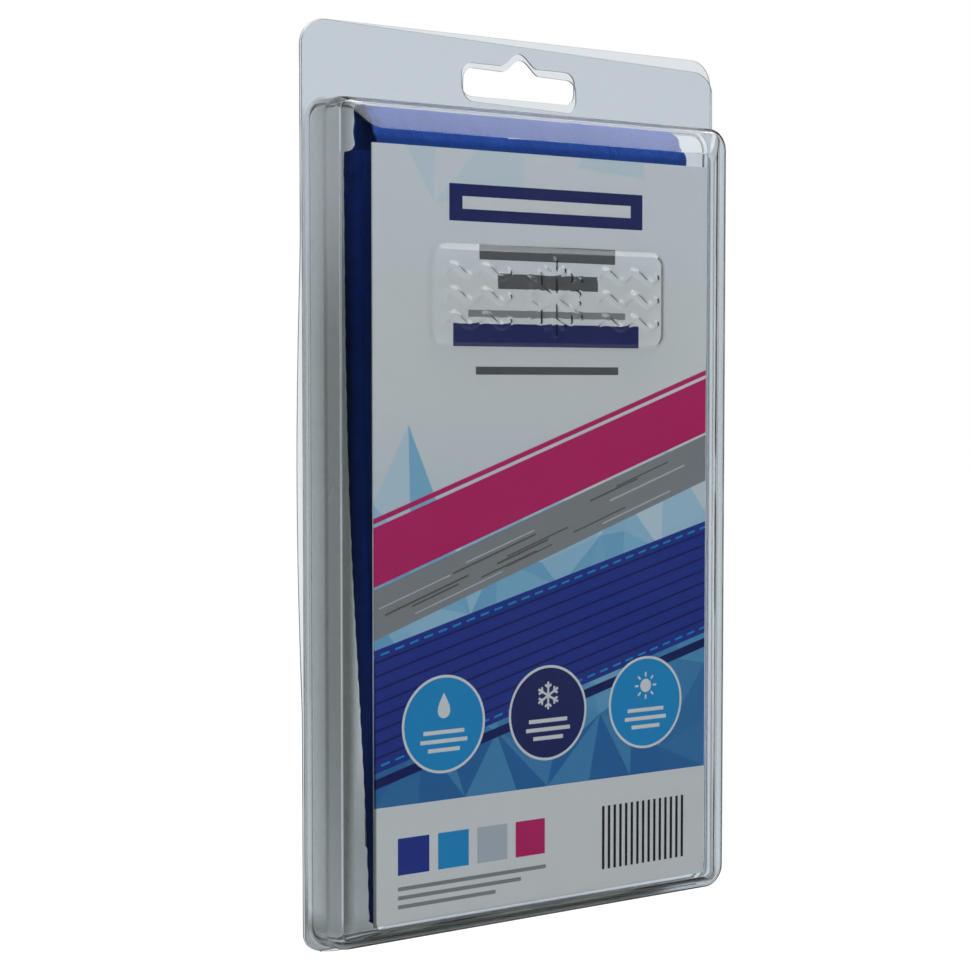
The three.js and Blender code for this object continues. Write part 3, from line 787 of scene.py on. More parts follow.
def sunShapes(cx, cz, size, wide):
    shapes = [discShape(cx, cz, size * 0.5, 24)]
    for k in range(8):
        a = math.radians(45 * k)
        shapes.append(barShape(cx + size * 0.68 * math.cos(a), cz + size * 0.68 * math.sin(a),
                               cx + size * math.cos(a), cz + size * math.sin(a), wide))
    return shapes


def turnsLeft(shape):  # True if the points run anticlockwise
    return sum(a[0] * b[1] - a[1] * b[0] for a, b in zip(shape, shape[1:] + shape[:1])) > 0


def printSheet(outline, shapes):  # shapes are (points, ink or a function of the place), the last on top
    points, loops = [], []
    for shape in [outline] + [s for s, _ in shapes]:
        loops.append(list(range(len(points), len(points) + len(shape))))
        points += [Vector(p) for p in (shape if turnsLeft(shape) else shape[::-1])]
    flat, _, faces, _, _, owners = delaunay_2d_cdt(points, [], loops, 1, 1e-5, True)
    kept, inked = [], []
    for face, mine in zip(faces, owners):
        if 0 not in mine:
            continue
        top = max(mine)
        colour = shapes[top - 1][1] if top else inks["white"]
        kept.append(tuple(face))
        inked.append([colour(*flat[i]) if callable(colour) else colour for i in face])
    return flat, kept, inked


def borderOf(faces):  # the sheet's edge as one loop of points
    used = {(a, b) for f in faces for a, b in zip(f, f[1:] + f[:1])}
    onward = {a: b for a, b in used if (b, a) not in used}
    start = min(onward)
    loop = [start]
    while onward[loop[-1]] != start:
        loop.append(onward[loop[-1]])
    return loop


def printedPiece(name, outline, front, back, frontDepth, backDepth, finish, edgeInk):
    flat, faces, inked = printSheet(outline, front)
    border = borderOf(faces)
    behind = [tuple(flat[i]) for i in border]
    flatBack, facesBack, inkedBack = printSheet(behind, back)
    points = [at(p.x, frontDepth, p.y) for p in flat]
    base = addFlat(points, faces, [f[::-1] for f in facesBack], [at(p.x, backDepth, p.y) for p in flatBack])
    inked += [corners[::-1] for corners in inkedBack]
    lookup = {(round(p.x, 4), round(p.y, 4)): base + i for i, p in enumerate(flatBack)}
    rim = [lookup[(round(x, 4), round(z, 4))] for x, z in behind]
    for k, n in zip(range(len(border)), [*range(1, len(border)), 0]):
        faces.append((border[k], rim[k], rim[n], border[n]))
        inked.append([edgeInk] * 4)
    piece = newPiece(name, points, faces, finish, smooth=False)
    layer = piece.data.color_attributes.new("print", "FLOAT_COLOR", "CORNER")
    colours = [channel for face in inked for corner in face for channel in (*corner, 1.0)]
    layer.data.foreach_set("color", colours)
    return piece


card = {"left": -47.3, "right": 45.9, "foot": 6.8, "top": 177.3, "front": 12.65, "back": 12.25}
cardWide = card["right"] - card["left"]
cardMiddle = (card["left"] + card["right"]) / 2
inks = {
    "white": ink(234, 233, 229), "navy": ink(38, 44, 104), "royal": ink(34, 56, 150),
    "deep": ink(22, 34, 100), "cyan": ink(20, 150, 212), "magenta": ink(206, 24, 104),
    "grey": ink(146, 147, 146), "dusk": ink(98, 98, 98), "soft": ink(192, 198, 204),
    "black": ink(28, 28, 32), "sky": ink(190, 213, 226),
}
ices = (ink(232, 234, 233), ink(190, 219, 234), ink(140, 194, 222), ink(86, 158, 202), ink(40, 110, 172))


def facetShapes(columns, rows, seed, foot, top, tones, ridge):  # jittered rows of triangles, deep to pale
    draw = random.Random(seed)
    lattice = []
    for r in range(rows + 1):
        line = []
        for c in range(columns + 1):
            x = card["left"] + cardWide * c / columns
            z = mix(foot, top, r / rows)
            if 0 < c < columns:
                x += draw.uniform(-3.4, 3.4)
            if r:
                z += draw.uniform(-5.0, 5.0)
            if r == rows:
                z += ridge * (math.sin(c * 2.1) + 0.67 * (c % 2))
            line.append((x, z))
        lattice.append(line)
    shapes = []
    for r in range(rows):
        for c in range(columns):
            a, b = lattice[r][c:c + 2]
            d, e = lattice[r + 1][c:c + 2]
            for half in ((a, b, d), (b, e, d)) if (r + c) % 2 else ((a, b, e), (a, e, d)):
                tone = mix(*tones, r / rows) + draw.uniform(-0.5, 0.9)
                low = int(min(3, max(0, math.floor(tone))))
                colour = tuple(mix(p, q, clamp(tone - low)) for p, q in zip(ices[low], ices[low + 1]))
                shapes.append((list(half), colour))
    return shapes


def ribbonShape(base, rise, thick, begin=0.0, end=1.0):  # a slanting band across the card, or part of it
    left, right = card["left"] - 2, card["right"] + 2
    ax, bx = mix(left, right, begin), mix(left, right, end)
    az, bz = base + rise * begin, base + rise * end
    return [(ax, az), (bx, bz), (bx, bz + thick), (ax, az + thick)]


def strapShapes(base, rise, thick, ribs=9, stitches=26):  # a woven strap with a row of stitches at each edge
    shapes = [(ribbonShape(base, rise, thick), inks["royal"])]
    shapes += [(ribbonShape(base + thick * k / ribs, rise, 0.5), inks["deep"]) for k in range(1, ribs)]
    for row in (1.1, thick - 1.6):
        shapes += [(ribbonShape(base + row, rise, 0.45, k / stitches, (k + 0.6) / stitches), inks["cyan"])
                   for k in range(stitches)]
    return shapes


def plankShapes(base, rise, thick):  # a grey board with its grain
    draw = random.Random(4)
    shapes = [(ribbonShape(base, rise, thick), inks["grey"])]
    for k in range(16):
        begin = draw.uniform(0.0, 0.75)
        low, line = base + draw.uniform(0.6, thick - 1.2), draw.uniform(0.2, 0.5)
        end = begin + draw.uniform(0.12, 0.25)
        shapes.append((ribbonShape(low, rise, line, begin, end), inks["dusk" if k % 3 else "soft"]))
    return shapes


design = {  # the card's front, in mm
    "bleed": 1.0, "skyFoot": 33.0, "skyHigh": 91.0, "fadeFrom": 60.0, "fadeRun": 62.0,
    "facets": ((8, 6, 11, 33.0, 98.0, (3.6, 0.6), 9.0), (5, 2, 3, 150.0, 190.0, (-0.8, -0.1), 0.0)),
    "plank": (69, 34, 11), "strap": (40, 26, 27),  # where each begins at the left, its rise and height
    "ribbons": (((80.6, 34, 13), "magenta"), ((94.4, 34, 1.2), "magenta")),
    "welt": (36.5, 26, 2.2),
    "badgePitch": 28.5, "badgeMiddle": 50.0, "badgeRim": 11.0, "badge": 10.4,
    "badgeLines": (5.4, 6.2, 4.2), "badgeLinesDown": 2.2, "badgeLinePitch": 2.0,
    "boxes": ((27, 161.5, 8.2, "navy"), (23.5, 164.2, 2.8, "white")),  # half width, foot, height
    "lineTop": 153.2, "linePitch": 6.4,
    "lines": ((19, 3.4, "dusk"), (14, 3.4, "dusk"), (22, 1.6, "grey"), (26, 5.0, "navy"), (20, 1.8, "dusk")),
    "footHigh": 27.2, "margin": 6.0, "thin": 0.9,
    "swatches": ("royal", "cyan", "soft", "magenta"), "swatch": 8.2, "swatchPitch": 10.5, "swatchFoot": 17.5,
    "noteTop": 14.0, "noteLong": 40.0, "notePitch": 2.0, "noteLess": 7.0,
    "stripes": 15, "stripesFrom": 31.0, "stripePitch": 1.7, "stripe": 0.75,
    "stripeFoot": 11.5, "stripeHigh": 15.0,
}
frontBadges = (("cyan", dropShapes, 4.2, 2.3, 0), ("navy", flakeShapes, 4.0, 3.2, 0.55),
               ("cyan", sunShapes, 4.0, 3.2, 3.2 * 0.14))  # disc, sign, its lift, size and line
backBadges = ((dropShapes, 4.4, 0), (flakeShapes, 6.0, 0.9), (sunShapes, 6.4, 6.4 * 0.14))
backDesign = {
    "boxes": ((38, 140, 22, "royal"), (30, 148, 5, "white")), "rule": (38, 16, 1.0, "soft"),
    "badgeTop": 122.0, "badgePitch": 34.0, "badgeLeft": 27.0, "badge": 9.5,
    "lines": 5, "lineLeft": 12.0, "lineUp": 7.0, "linePitch": 3.6,
    "lineLong": 48.0, "lineLess": 9.0, "line": 1.1,
}


def skyInk(x, z):  # white above, paler blue below
    share = clamp((z - design["fadeFrom"]) / design["fadeRun"])
    return tuple(mix(b, a, share) for a, b in zip(inks["white"], inks["sky"]))


def middleBox(half, foot, high, name):
    return boxShape(cardMiddle - half, foot, 2 * half, high), inks[name]


def badgeShapes(k, name, sign, lift, size, wide):  # a disc with a sign over three lines
    cx, cz = cardMiddle + (k - 1) * design["badgePitch"], design["badgeMiddle"]
    top = cz - design["badgeLinesDown"]
    shapes = [(discShape(cx, cz, design["badgeRim"]), inks["white"]),
              (discShape(cx, cz, design["badge"]), inks[name])]
    shapes += [(boxShape(cx - half, top - design["badgeLinePitch"] * row, 2 * half, design["thin"]),
                inks["white"]) for row, half in enumerate(design["badgeLines"])]
    return shapes + [(s, inks["white"]) for s in sign(cx, cz + lift, size, wide)]


def footShapes():  # the white foot with its colour swatches, note lines and stripes
    left, bleed, margin = card["left"], design["bleed"], card["left"] + design["margin"]
    side, right = design["swatch"], card["right"] - design["stripesFrom"]
    shapes = [(boxShape(left - bleed, card["foot"] - bleed, cardWide + 2 * bleed, design["footHigh"]),
               inks["white"])]
    shapes += [(boxShape(margin + design["swatchPitch"] * k, design["swatchFoot"], side, side), inks[name])
               for k, name in enumerate(design["swatches"])]
    for k in range(3):
        foot, long = design["noteTop"] - design["notePitch"] * k, design["noteLong"] - design["noteLess"] * k
        shapes.append((boxShape(margin, foot, long, design["thin"]), inks["grey"]))
    for k in range(design["stripes"]):
        stripe = boxShape(right + design["stripePitch"] * k, design["stripeFoot"], design["stripe"],
                          design["stripeHigh"])
        shapes.append((stripe, inks["black"]))
    return shapes


def cardFront():
    bleed = design["bleed"]
    shapes = [(boxShape(card["left"] - bleed, design["skyFoot"], cardWide + 2 * bleed, design["skyHigh"]),
               skyInk)]
    for facets in design["facets"]:
        shapes += facetShapes(*facets)
    shapes += plankShapes(*design["plank"])
    shapes += [(ribbonShape(*ribbon), inks[name]) for ribbon, name in design["ribbons"]]
    shapes += strapShapes(*design["strap"])
    shapes.append((ribbonShape(*design["welt"]), inks["deep"]))
    for k, badge in enumerate(frontBadges):
        shapes += badgeShapes(k, *badge)
    shapes += [middleBox(*box) for box in design["boxes"]]
    shapes += [middleBox(half, design["lineTop"] - design["linePitch"] * row, high, name)
               for row, (half, high, name) in enumerate(design["lines"])]
    return shapes + footShapes()


def cardBack():
    shapes = [middleBox(*box) for box in backDesign["boxes"]]
    cx, left = cardMiddle - backDesign["badgeLeft"], cardMiddle - backDesign["lineLeft"]
    for k, (sign, size, wide) in enumerate(backBadges):
        cz = backDesign["badgeTop"] - backDesign["badgePitch"] * k
        shapes.append((discShape(cx, cz, backDesign["badge"]), inks["cyan"]))
        shapes += [(s, inks["white"]) for s in sign(cx, cz, size, wide)]
        for row in range(backDesign["lines"]):
            foot = cz + backDesign["lineUp"] - backDesign["linePitch"] * row
            long = backDesign["lineLong"] - backDesign["lineLess"] * (row % 3)
            shapes.append((boxShape(left, foot, long, backDesign["line"]), inks["dusk"]))
    return shapes + [middleBox(*backDesign["rule"])]


def frontCardPiece():
    outline = boxShape(card["left"], card["foot"], cardWide, card["top"] - card["foot"])
    piece = printedPiece("printedCard", outline, cardFront(), cardBack(), card["front"], card["back"],
                         cardFinish, ink(225, 225, 222))
    return dress(piece, "front_half", "printed_card", "front_card")


leaflet = {
    "left": -42.75, "foot": 22.0, "wide": 80.0, "high": 140.0, "back": 1.1, "front": 1.7,
    "layers": 4, "shy": 0.5, "paper": 0.82,  # every other layer is narrower, with air between them
    "lines": 34, "pitch": 3.6, "firstLine": 128.0, "columnEnd": 38.0, "columnPitch": 36.5,
    "long": 33.0, "lastLess": 7.0, "ragged": 1.5, "line": 0.8, "headLong": 20.0, "head": 1.5, "paragraph": 6,
}


def leafletLines():
    lines = []
    for column in range(2):
        x = leaflet["left"] + leaflet["columnEnd"] + leaflet["columnPitch"] * column  # as read from behind
        for row in range(leaflet["lines"]):
            z = leaflet["foot"] + leaflet["firstLine"] - leaflet["pitch"] * row
            place = row % leaflet["paragraph"]
            last = place == leaflet["paragraph"] - 1
            long = leaflet["long"] - (leaflet["lastLess"] if last else leaflet["ragged"] * ((row * 7) % 3))
            high, name = leaflet["line"], "grey"
            if place == 0:
                long, high, name = leaflet["headLong"], leaflet["head"], "royal"
            lines.append((boxShape(x - long, z, long, high), inks[name]))
    return lines


def leafletPiece():  # folded twice: four layers, with lines of print on the side that faces back
    thick = (leaflet["front"] - leaflet["back"]) / leaflet["layers"]
    layers = []
    for k in range(leaflet["layers"]):
        shy = leaflet["shy"] * (k % 2)
        outline = boxShape(leaflet["left"] + shy, leaflet["foot"], leaflet["wide"] - 2 * shy,
                           leaflet["high"] - shy)
        back = leaflet["back"] + thick * k
        front = back + thick * leaflet["paper"]
        name, lines = (f"leafletLayer{k}", []) if k else ("foldedLeaflet", leafletLines())
        layers.append(printedPiece(name, outline, [], lines, front, back, leafletFinish, ink(236, 236, 232)))
    return dress(joinPieces(*layers), "back_half", "leaflet_paper", "instruction_leaflet")


printedCard = frontCardPiece()
leafletPiece()
print("paper made:", len(printedCard.data.polygons), "card faces")


# Wallet: a soft cover with a flap, and a quilted pouch inside it

wallet = {
    "shift": -2.75, "half": 45.9, "foot": 6.2, "mouth": 176.0,
    "taper": 2.8, "taperHigh": 110.0,
    "frontFoot": 12.1, "frontLean": 2.9, "leanHigh": 125.8,
    "stack": 4.0, "pocketFoot": 0.4, "pocketMouth": 3.0,
    "cloth": 0.6, "edge": 1.05,
    "pucker": 4.6,  # from one drawn-in stitch of a side seam to the next
    "trimRun": 5.0,  # the cloth lies flat so far round a sewn trim
}
panelSlack = {"sewn": 9.0, "pucker": 0.28, "drawIn": 0.5, "sag": 0.35, "sagScale": 0.045, "rows": 112,
              "columns": 62}
flap = {
    "inset": 3.0, "cloth": 0.8, "back": 2.2, "roof": 185.6, "roofEnd": 5.5, "turn": 1.2,
    "bend": (7.9, 185.2), "slopeEnd": (11.7, 178.4), "foot": 132.0, "hinge": (2.2, 185.05),
    "hem": 0.4, "wall": 0.7, "columns": 172,
}
flapSlack = {  # heights in mm, each with the scale or pitch of its ripples
    "sewn": 5.0, "crumple": 0.20, "crumpleScale": 0.42, "crease": 0.16, "creaseScale": 1.1, "pucker": 0.10,
    "backSag": 0.22, "sagScale": 0.05, "drawIn": 0.35, "sway": 0.25, "swayPitch": 5.3,
}
panelFoot = wallet["foot"] + wallet["edge"]


def walletEdge(z, side):
    taper = wallet["taper"] * (1 - ease((z - wallet["foot"]) / wallet["taperHigh"]))
    return wallet["shift"] + side * (wallet["half"] - taper)


def sewnSides(z, inset):  # left and right, so far inside the wallet's edges
    return walletEdge(z, -1) + inset, walletEdge(z, 1) - inset


def coverFrontAt(z):
    return wallet["frontFoot"] - wallet["frontLean"] * clamp((z - wallet["foot"]) / wallet["leanHigh"])


def coverBackAt(z):
    share = clamp((z - wallet["foot"]) / (wallet["mouth"] - wallet["foot"]))
    return coverFrontAt(z) - wallet["stack"] - mix(wallet["pocketFoot"], wallet["pocketMouth"], share)


def clothUv(piece, places):  # the cut cloth's own coordinates in mm, so that the weave follows the cut
    layer = piece.data.uv_layers.new(name="cloth")
    index = np.zeros(len(piece.data.loops), int)
    piece.data.loops.foreach_get("vertex_index", index)
    layer.data.foreach_set("uv", np.array(places, np.float32)[index].ravel())


def clothPiece(name, rows, columns, place, finish, flipped=False):  # place gives a point and its cut
    spots = [place(c, r) for r in shares(rows - 1) for c in shares(columns - 1)]
    piece = newPiece(name, [p for p, cut in spots], sheetFaces(rows, columns, flipped), finish)
    clothUv(piece, [cut for p, cut in spots])
    return piece


def pucker(x, z):  # the drawn-in cloth beside a sewn edge, strongest at the edge
    wave = math.sin(2 * math.pi * z / wallet["pucker"] + 1.3 * ripple(0, 2, z, 0.09))
    return (0.6 + 0.4 * ripple(x, 5, z, 0.11)) * wave


tape = {"left": -32.75, "foot": 136.0, "wide": 60.0, "high": 16.0, "thick": 0.35,
        "loopBack": 9.3, "hookFront": 11.2, "edgeDrop": 0.06, "edgeRun": 0.9, "napSunk": 0.05}
label = {"left": -22.75, "foot": 92.0, "wide": 40.0, "high": 22.0, "thick": 0.21, "lift": 0.1,
         "turned": 0.10, "turnedEnd": 5.0, "turnedRun": 0.8, "slack": 0.025}


def insideTrim(trim, x, z):  # how far inside a trim's edges, across and along
    return (min(x - trim["left"], trim["left"] + trim["wide"] - x),
            min(z - trim["foot"], trim["foot"] + trim["high"] - z))


def underTrim(x, z):  # 1 where a tape or the label is sewn on, so that the cloth lies flat there
    return max(0.0, *(ease(min(insideTrim(trim, x, z)) / wallet["trimRun"] + 1) for trim in (tape, label)))


def panelFront(x, z):  # the front panel's outer face, with its slack and its drawn-in sides
    left, right = sewnSides(z, wallet["edge"])
    near = 1 - ease(min(x - left, right - x) / panelSlack["sewn"])
    drawn = panelSlack["pucker"] * near * (0.5 + 0.5 * pucker(x, z)) + panelSlack["drawIn"] * near ** 3
    sag = panelSlack["sag"] * (0.5 + 0.5 * ripple(x, 1, z, panelSlack["sagScale"]))
    return coverFrontAt(z) - drawn - (1 - underTrim(x, z)) * sag * (1 - near)


def frontPanelPiece():
    def place(across, up):
        z = mix(panelFoot, wallet["mouth"], up)
        x = mix(*sewnSides(z, wallet["edge"]), across)
        return at(x, panelFront(x, z) - wallet["cloth"], z), (x, z)

    piece = clothPiece("coverFrontPanel", panelSlack["rows"], panelSlack["columns"], place, coverFinish)
    thicken(piece, wallet["cloth"], 1.0)
    dress(piece, "back_half", "cover_cloth", "cover_front_panel")


backRows = 85  # steps of the section up to the mouth


def flapSection():  # (depth, z) along the middle of the cloth: up the back, over the mouth, down the front
    mouth, turn, half = wallet["mouth"], flap["turn"], flap["cloth"] / 2
    line = []
    for s in shares(backRows):
        z = mix(panelFoot, mouth, s)
        line.append((coverBackAt(z) + wallet["cloth"] / 2, z))
    for s in shares(9, 1):
        depth = mix(coverBackAt(mouth), flap["back"], s) + wallet["cloth"] / 2 * (1 - s) + half * s
        line.append((depth, mix(mouth, flap["roof"] - turn, s)))
    for sine, cosine in quarter(7, 1):
        line.append((flap["back"] + turn + half - turn * cosine, flap["roof"] - turn + turn * sine))
    begin = line[-1][0]
    line += [(mix(begin, flap["roofEnd"], s), flap["roof"]) for s in shares(4, 1)]
    (ax, az), (bx, bz), (cx, cz) = (flap["roofEnd"], flap["roof"]), flap["bend"], flap["slopeEnd"]
    for t in shares(20, 1):
        line.append(((1 - t) ** 2 * ax + 2 * t * (1 - t) * bx + t * t * cx,
                     (1 - t) ** 2 * az + 2 * t * (1 - t) * bz + t * t * cz))
    return line + [(cx, mix(cz, flap["foot"] + flap["hem"], s)) for s in shares(37, 1)]


hem = {  # the overlocked sides of the flap: first row, columns from the edge, and sizes in mm
    "from": 108, "near": 1, "far": 5, "step": 0.55, "off": 0.29, "end": 0.3,
    "length": 0.0022, "width": 0.00026,  # of one thread, in metres
}


def hemStitches(points, run, outwards, columns):  # slanting threads over both side edges, as short lines
    ends = []
    for near, far in ((hem["near"], hem["far"]), (columns - 1 - hem["near"], columns - 1 - hem["far"])):
        corners = []
        for k, s in enumerate(np.arange(run[hem["from"]], run[-1] - hem["end"], hem["step"])):
            r = min(int(np.searchsorted(run, s, "right")) - 1, len(run) - 2)
            c = far if k % 2 else near
            here, there = points[r * columns + c], points[(r + 1) * columns + c]
            place = here.lerp(there, (s - run[r]) / (run[r + 1] - run[r]))
            depth, rise = (way * hem["off"] for way in outwards[r])
            corners.append(place + Vector((0, -depth, rise)) * mm)
        ends += [[(a + b) / 2, (a + b) / 2 + (b - a) * 0.15] for a, b in zip(corners, corners[1:])]
    return ends


def backAndFlapPiece():  # one cloth: the back panel goes on over the mouth as the flap
    section = flapSection()
    columns, last = flap["columns"], len(section) - 1
    run, rows = [0.0], []
    for (a, b), (c, d) in zip(section, section[1:]):
        run.append(run[-1] + math.hypot(c - a, d - b))
    for r, (depth, z) in enumerate(section):
        before, after = section[max(0, r - 1)], section[min(last, r + 1)]
        way = Vector((after[0] - before[0], after[1] - before[1])).normalized()
        neck = ease((r - backRows) / 1.6)
        edge = wallet["mouth"] if r > backRows else min(z, wallet["mouth"])
        sides = sewnSides(edge, mix(wallet["edge"], flap["inset"], neck))
        roof = ease((r - backRows - 4) / 8) * (1 - ease((r - backRows - 34) / 10))
        rows.append((depth, z, (-way.y, way.x), neck, sides, roof))  # the pair is the way outwards

    def place(across, up):
        r = round(up * last)
        depth, z, outward, neck, (left, right), roof = rows[r]
        x = mix(left, right, across)
        near = 1 - ease(min(x - left, right - x) / flapSlack["sewn"])
        turn = 2 * math.pi * run[r]
        lift = flapSlack["crumple"] * roof * ripple(x, 9, run[r] * 0.25, flapSlack["crumpleScale"])
        lift += flapSlack["crease"] * roof * ripple(x, 4, run[r] * 0.4, flapSlack["creaseScale"])
        lift += flapSlack["pucker"] * neck * near * math.sin(turn / wallet["pucker"] + 2 * across)
        lift += (1 - neck) * flapSlack["backSag"] * (ripple(x, 6, z, flapSlack["sagScale"]) - 0.6)
        lift -= (1 - neck) * flapSlack["drawIn"] * near ** 2
        sway = flapSlack["sway"] * neck * near * math.sin(turn / flapSlack["swayPitch"])
        x += sway if across < 0.5 else -sway
        return at(x, depth + outward[0] * lift, z + outward[1] * lift), (mix(left, right, across), run[r])

    piece = clothPiece("coverBackAndFlap", last + 1, columns, place, coverFinish, True)
    points = [v.co.copy() for v in piece.data.vertices]
    stitches = hemStitches(points, run, [row[2] for row in rows], columns)
    thicken(piece, flap["wall"], 0.0)
    depth, high = flap["hinge"]
    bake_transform(piece)
    dress(piece, None, "cover_cloth", "cover_back_panel", "cover_flap")
    return stitches


frontPanelPiece()
flapHem = backAndFlapPiece()
print("cover made")


sideRoll = {"inset": 0.12, "least": 0.62, "round": 0.7, "flat": 0.05, "grit": 0.09, "wall": 0.45,
            "close": 0.35, "closeRun": 2.5, "rows": 240, "columns": 15}
footRoll = {"inset": 0.1, "least": 0.7, "round": 0.7, "pitch": 5.2, "wall": 0.4,
            "endLeast": 0.3, "endRun": 1.2, "rows": 13, "columns": 180}


def seamPuff(z):  # 1 where the turned edge swells between two stitches, 0 where a stitch draws it in
    return 0.5 + 0.5 * math.sin(2 * math.pi * z / wallet["pucker"] + 1.6 * ripple(0, 2, z, 0.09))


def seamDepths(z):  # the front and back of the turned side edge
    return coverFrontAt(z) - sideRoll["inset"], coverBackAt(z) + sideRoll["inset"]


def seamRollPiece(name, node, side):  # the turned and puckered side edge of the cover
    top = wallet["mouth"]

    def place(across, up):
        z = mix(panelFoot, top, up)
        front, back = seamDepths(z)
        puff = seamPuff(z)
        close = 1 - sideRoll["close"] * ease((z - top) / sideRoll["closeRun"] + 1)
        a = math.radians(mix(-90, 90, across))
        bulge = wallet["edge"] * math.cos(a) ** sideRoll["round"] * mix(sideRoll["least"], 1.0, puff) * close
        grit = sideRoll["grit"] * ripple(across * 11.2, side * 3, z, 0.9)
        depth = mix(back, front, 0.5 + 0.5 * math.sin(a) * (1 - sideRoll["flat"] * puff))
        return at(walletEdge(z, side) - side * (wallet["edge"] - bulge - grit), depth, z), (z, across * 8)

    piece = clothPiece(name, sideRoll["rows"], sideRoll["columns"], place, seamFinish, side < 0)
    thicken(piece, sideRoll["wall"])
    dress(piece, "back_half", "seam_thread", node)


def footRollPiece():
    foot = wallet["foot"]
    left, right = sewnSides(foot, 0.0)
    front, back = coverFrontAt(foot) - footRoll["inset"], coverBackAt(foot) + footRoll["inset"]

    def place(across, up):
        a = math.radians(mix(-90, 90, up))
        x = mix(left, right, across)
        puff = 0.5 + 0.5 * math.sin(2 * math.pi * x / footRoll["pitch"] + ripple(x, 1, 0, 0.1))
        ends = min(1.0, min(x - left, right - x) / footRoll["endRun"] + footRoll["endLeast"])
        drop = math.cos(a) ** footRoll["round"] * mix(footRoll["least"], 1.0, puff) * ends
        return at(x, mix(back, front, 0.5 + 0.5 * math.sin(a)), panelFoot - drop), (x, up * 6)

    piece = clothPiece("footSeam", footRoll["rows"], footRoll["columns"], place, seamFinish)
    thicken(piece, footRoll["wall"])
    dress(piece, "back_half", "seam_thread", "seam_binding_foot")


seamRollPiece("leftSeam", "seam_binding_left", -1)
seamRollPiece("rightSeam", "seam_binding_right", 1)
footRollPiece()
print("seams made")


# Rules for what repeats, as Geometry Nodes trees

def ruleTree(name, inputs):
    tree = bpy.data.node_groups.new(name, "GeometryNodeTree")
    kinds = {int: "NodeSocketInt", float: "NodeSocketFloat"}
    tree.interface.new_socket("Geometry", in_out="INPUT", socket_type="NodeSocketGeometry")
    for title, value in inputs.items():
        socket = tree.interface.new_socket(title, in_out="INPUT", socket_type=kinds[type(value)])
        socket.default_value = value
    tree.interface.new_socket("Finish", in_out="INPUT", socket_type="NodeSocketMaterial")
    tree.interface.new_socket("Geometry", in_out="OUTPUT", socket_type="NodeSocketGeometry")
    return tree, tree.nodes.new("NodeGroupInput").outputs


def closeTree(tree, given, points, instance, **turned):  # a real copy at each point, in the given finish
    placed = addNode(tree, "GeometryNodeInstanceOnPoints",
                     {"Points": points, "Instance": instance, **turned})
    real = addNode(tree, "GeometryNodeRealizeInstances", {"Geometry": placed[0]})
    coloured = addNode(tree, "GeometryNodeSetMaterial", {"Geometry": real[0], "Material": given["Finish"]})
    fill(tree.nodes.new("NodeGroupOutput"), {"Geometry": coloured[0]})
    return tree


def scaled(tree, geometry, scale, **more):
    return addNode(tree, "GeometryNodeTransform", {"Geometry": geometry, "Scale": scale, **more})[0]


def turnBy(tree, x, z):
    angles = addNode(tree, "ShaderNodeCombineXYZ", {"X": x, "Z": z})
    return addNode(tree, "FunctionNodeEulerToRotation", {0: angles[0]})[0]


def randomValue(tree, given, low, high):
    return addNode(tree, "FunctionNodeRandomValue", {2: low, 3: high, "Seed": given["Seed"]})[1]


def threadAlong(tree, curve, sides, radius):
    core = addNode(tree, "GeometryNodeCurvePrimitiveCircle", {"Resolution": sides, "Radius": radius})
    return addNode(tree, "GeometryNodeCurveToMesh",
                   {"Curve": curve, "Profile Curve": core["Curve"], "Fill Caps": True})[0]


def arcCurve(tree, resolution, radius, start, sweep):
    return addNode(tree, "GeometryNodeCurveArc", {
        "Resolution": resolution, "Radius": radius, "Start Angle": start, "Sweep Angle": sweep})["Curve"]


def jitteredPatch(tree, given):  # rows of points over a flat patch, each moved a little
    patch = addNode(tree, "GeometryNodeMeshGrid", {
        "Size X": given["Wide"], "Size Y": given["High"],
        "Vertices X": given["Columns"], "Vertices Y": given["Rows"]})
    drift = addNode(tree, "FunctionNodeRandomValue", {"Seed": given["Seed"]}, data_type="FLOAT_VECTOR")
    middled = addNode(tree, "ShaderNodeVectorMath", {0: drift[0], 1: (0.5, 0.5, 0.5)}, operation="SUBTRACT")
    level = addNode(tree, "ShaderNodeVectorMath", {0: middled[0], 1: (2.0, 2.0, 0.0)}, operation="MULTIPLY")
    moved = addNode(tree, "ShaderNodeVectorMath", {0: level[0], "Scale": given["Jitter"]}, operation="SCALE")
    return addNode(tree, "GeometryNodeSetPosition",
                   {"Geometry": patch["Mesh"], "Offset": moved["Vector"]})[0]


def stitchTree():  # a running stitch along every line that it is given
    tree, given = ruleTree("stitchRow", {"Pitch": 0.0024, "Length": 0.0017, "Width": 0.0003})
    path = addNode(tree, "GeometryNodeMeshToCurve", {"Mesh": given["Geometry"]})
    spots = addNode(tree, "GeometryNodeCurveToPoints", {"Curve": path[0], "Length": given["Pitch"]},
                    mode="LENGTH")
    ball = addNode(tree, "GeometryNodeMeshUVSphere", {"Segments": 6, "Rings": 4, "Radius": 0.5})["Mesh"]
    size = addNode(tree, "ShaderNodeCombineXYZ",
                   {"X": given["Length"], "Y": given["Width"], "Z": given["Width"]})
    turn = addNode(tree, "FunctionNodeAlignRotationToVector", {"Vector": spots["Tangent"]}, axis="X")
    return closeTree(tree, given, spots["Points"], scaled(tree, ball, size[0]), Rotation=turn[0])


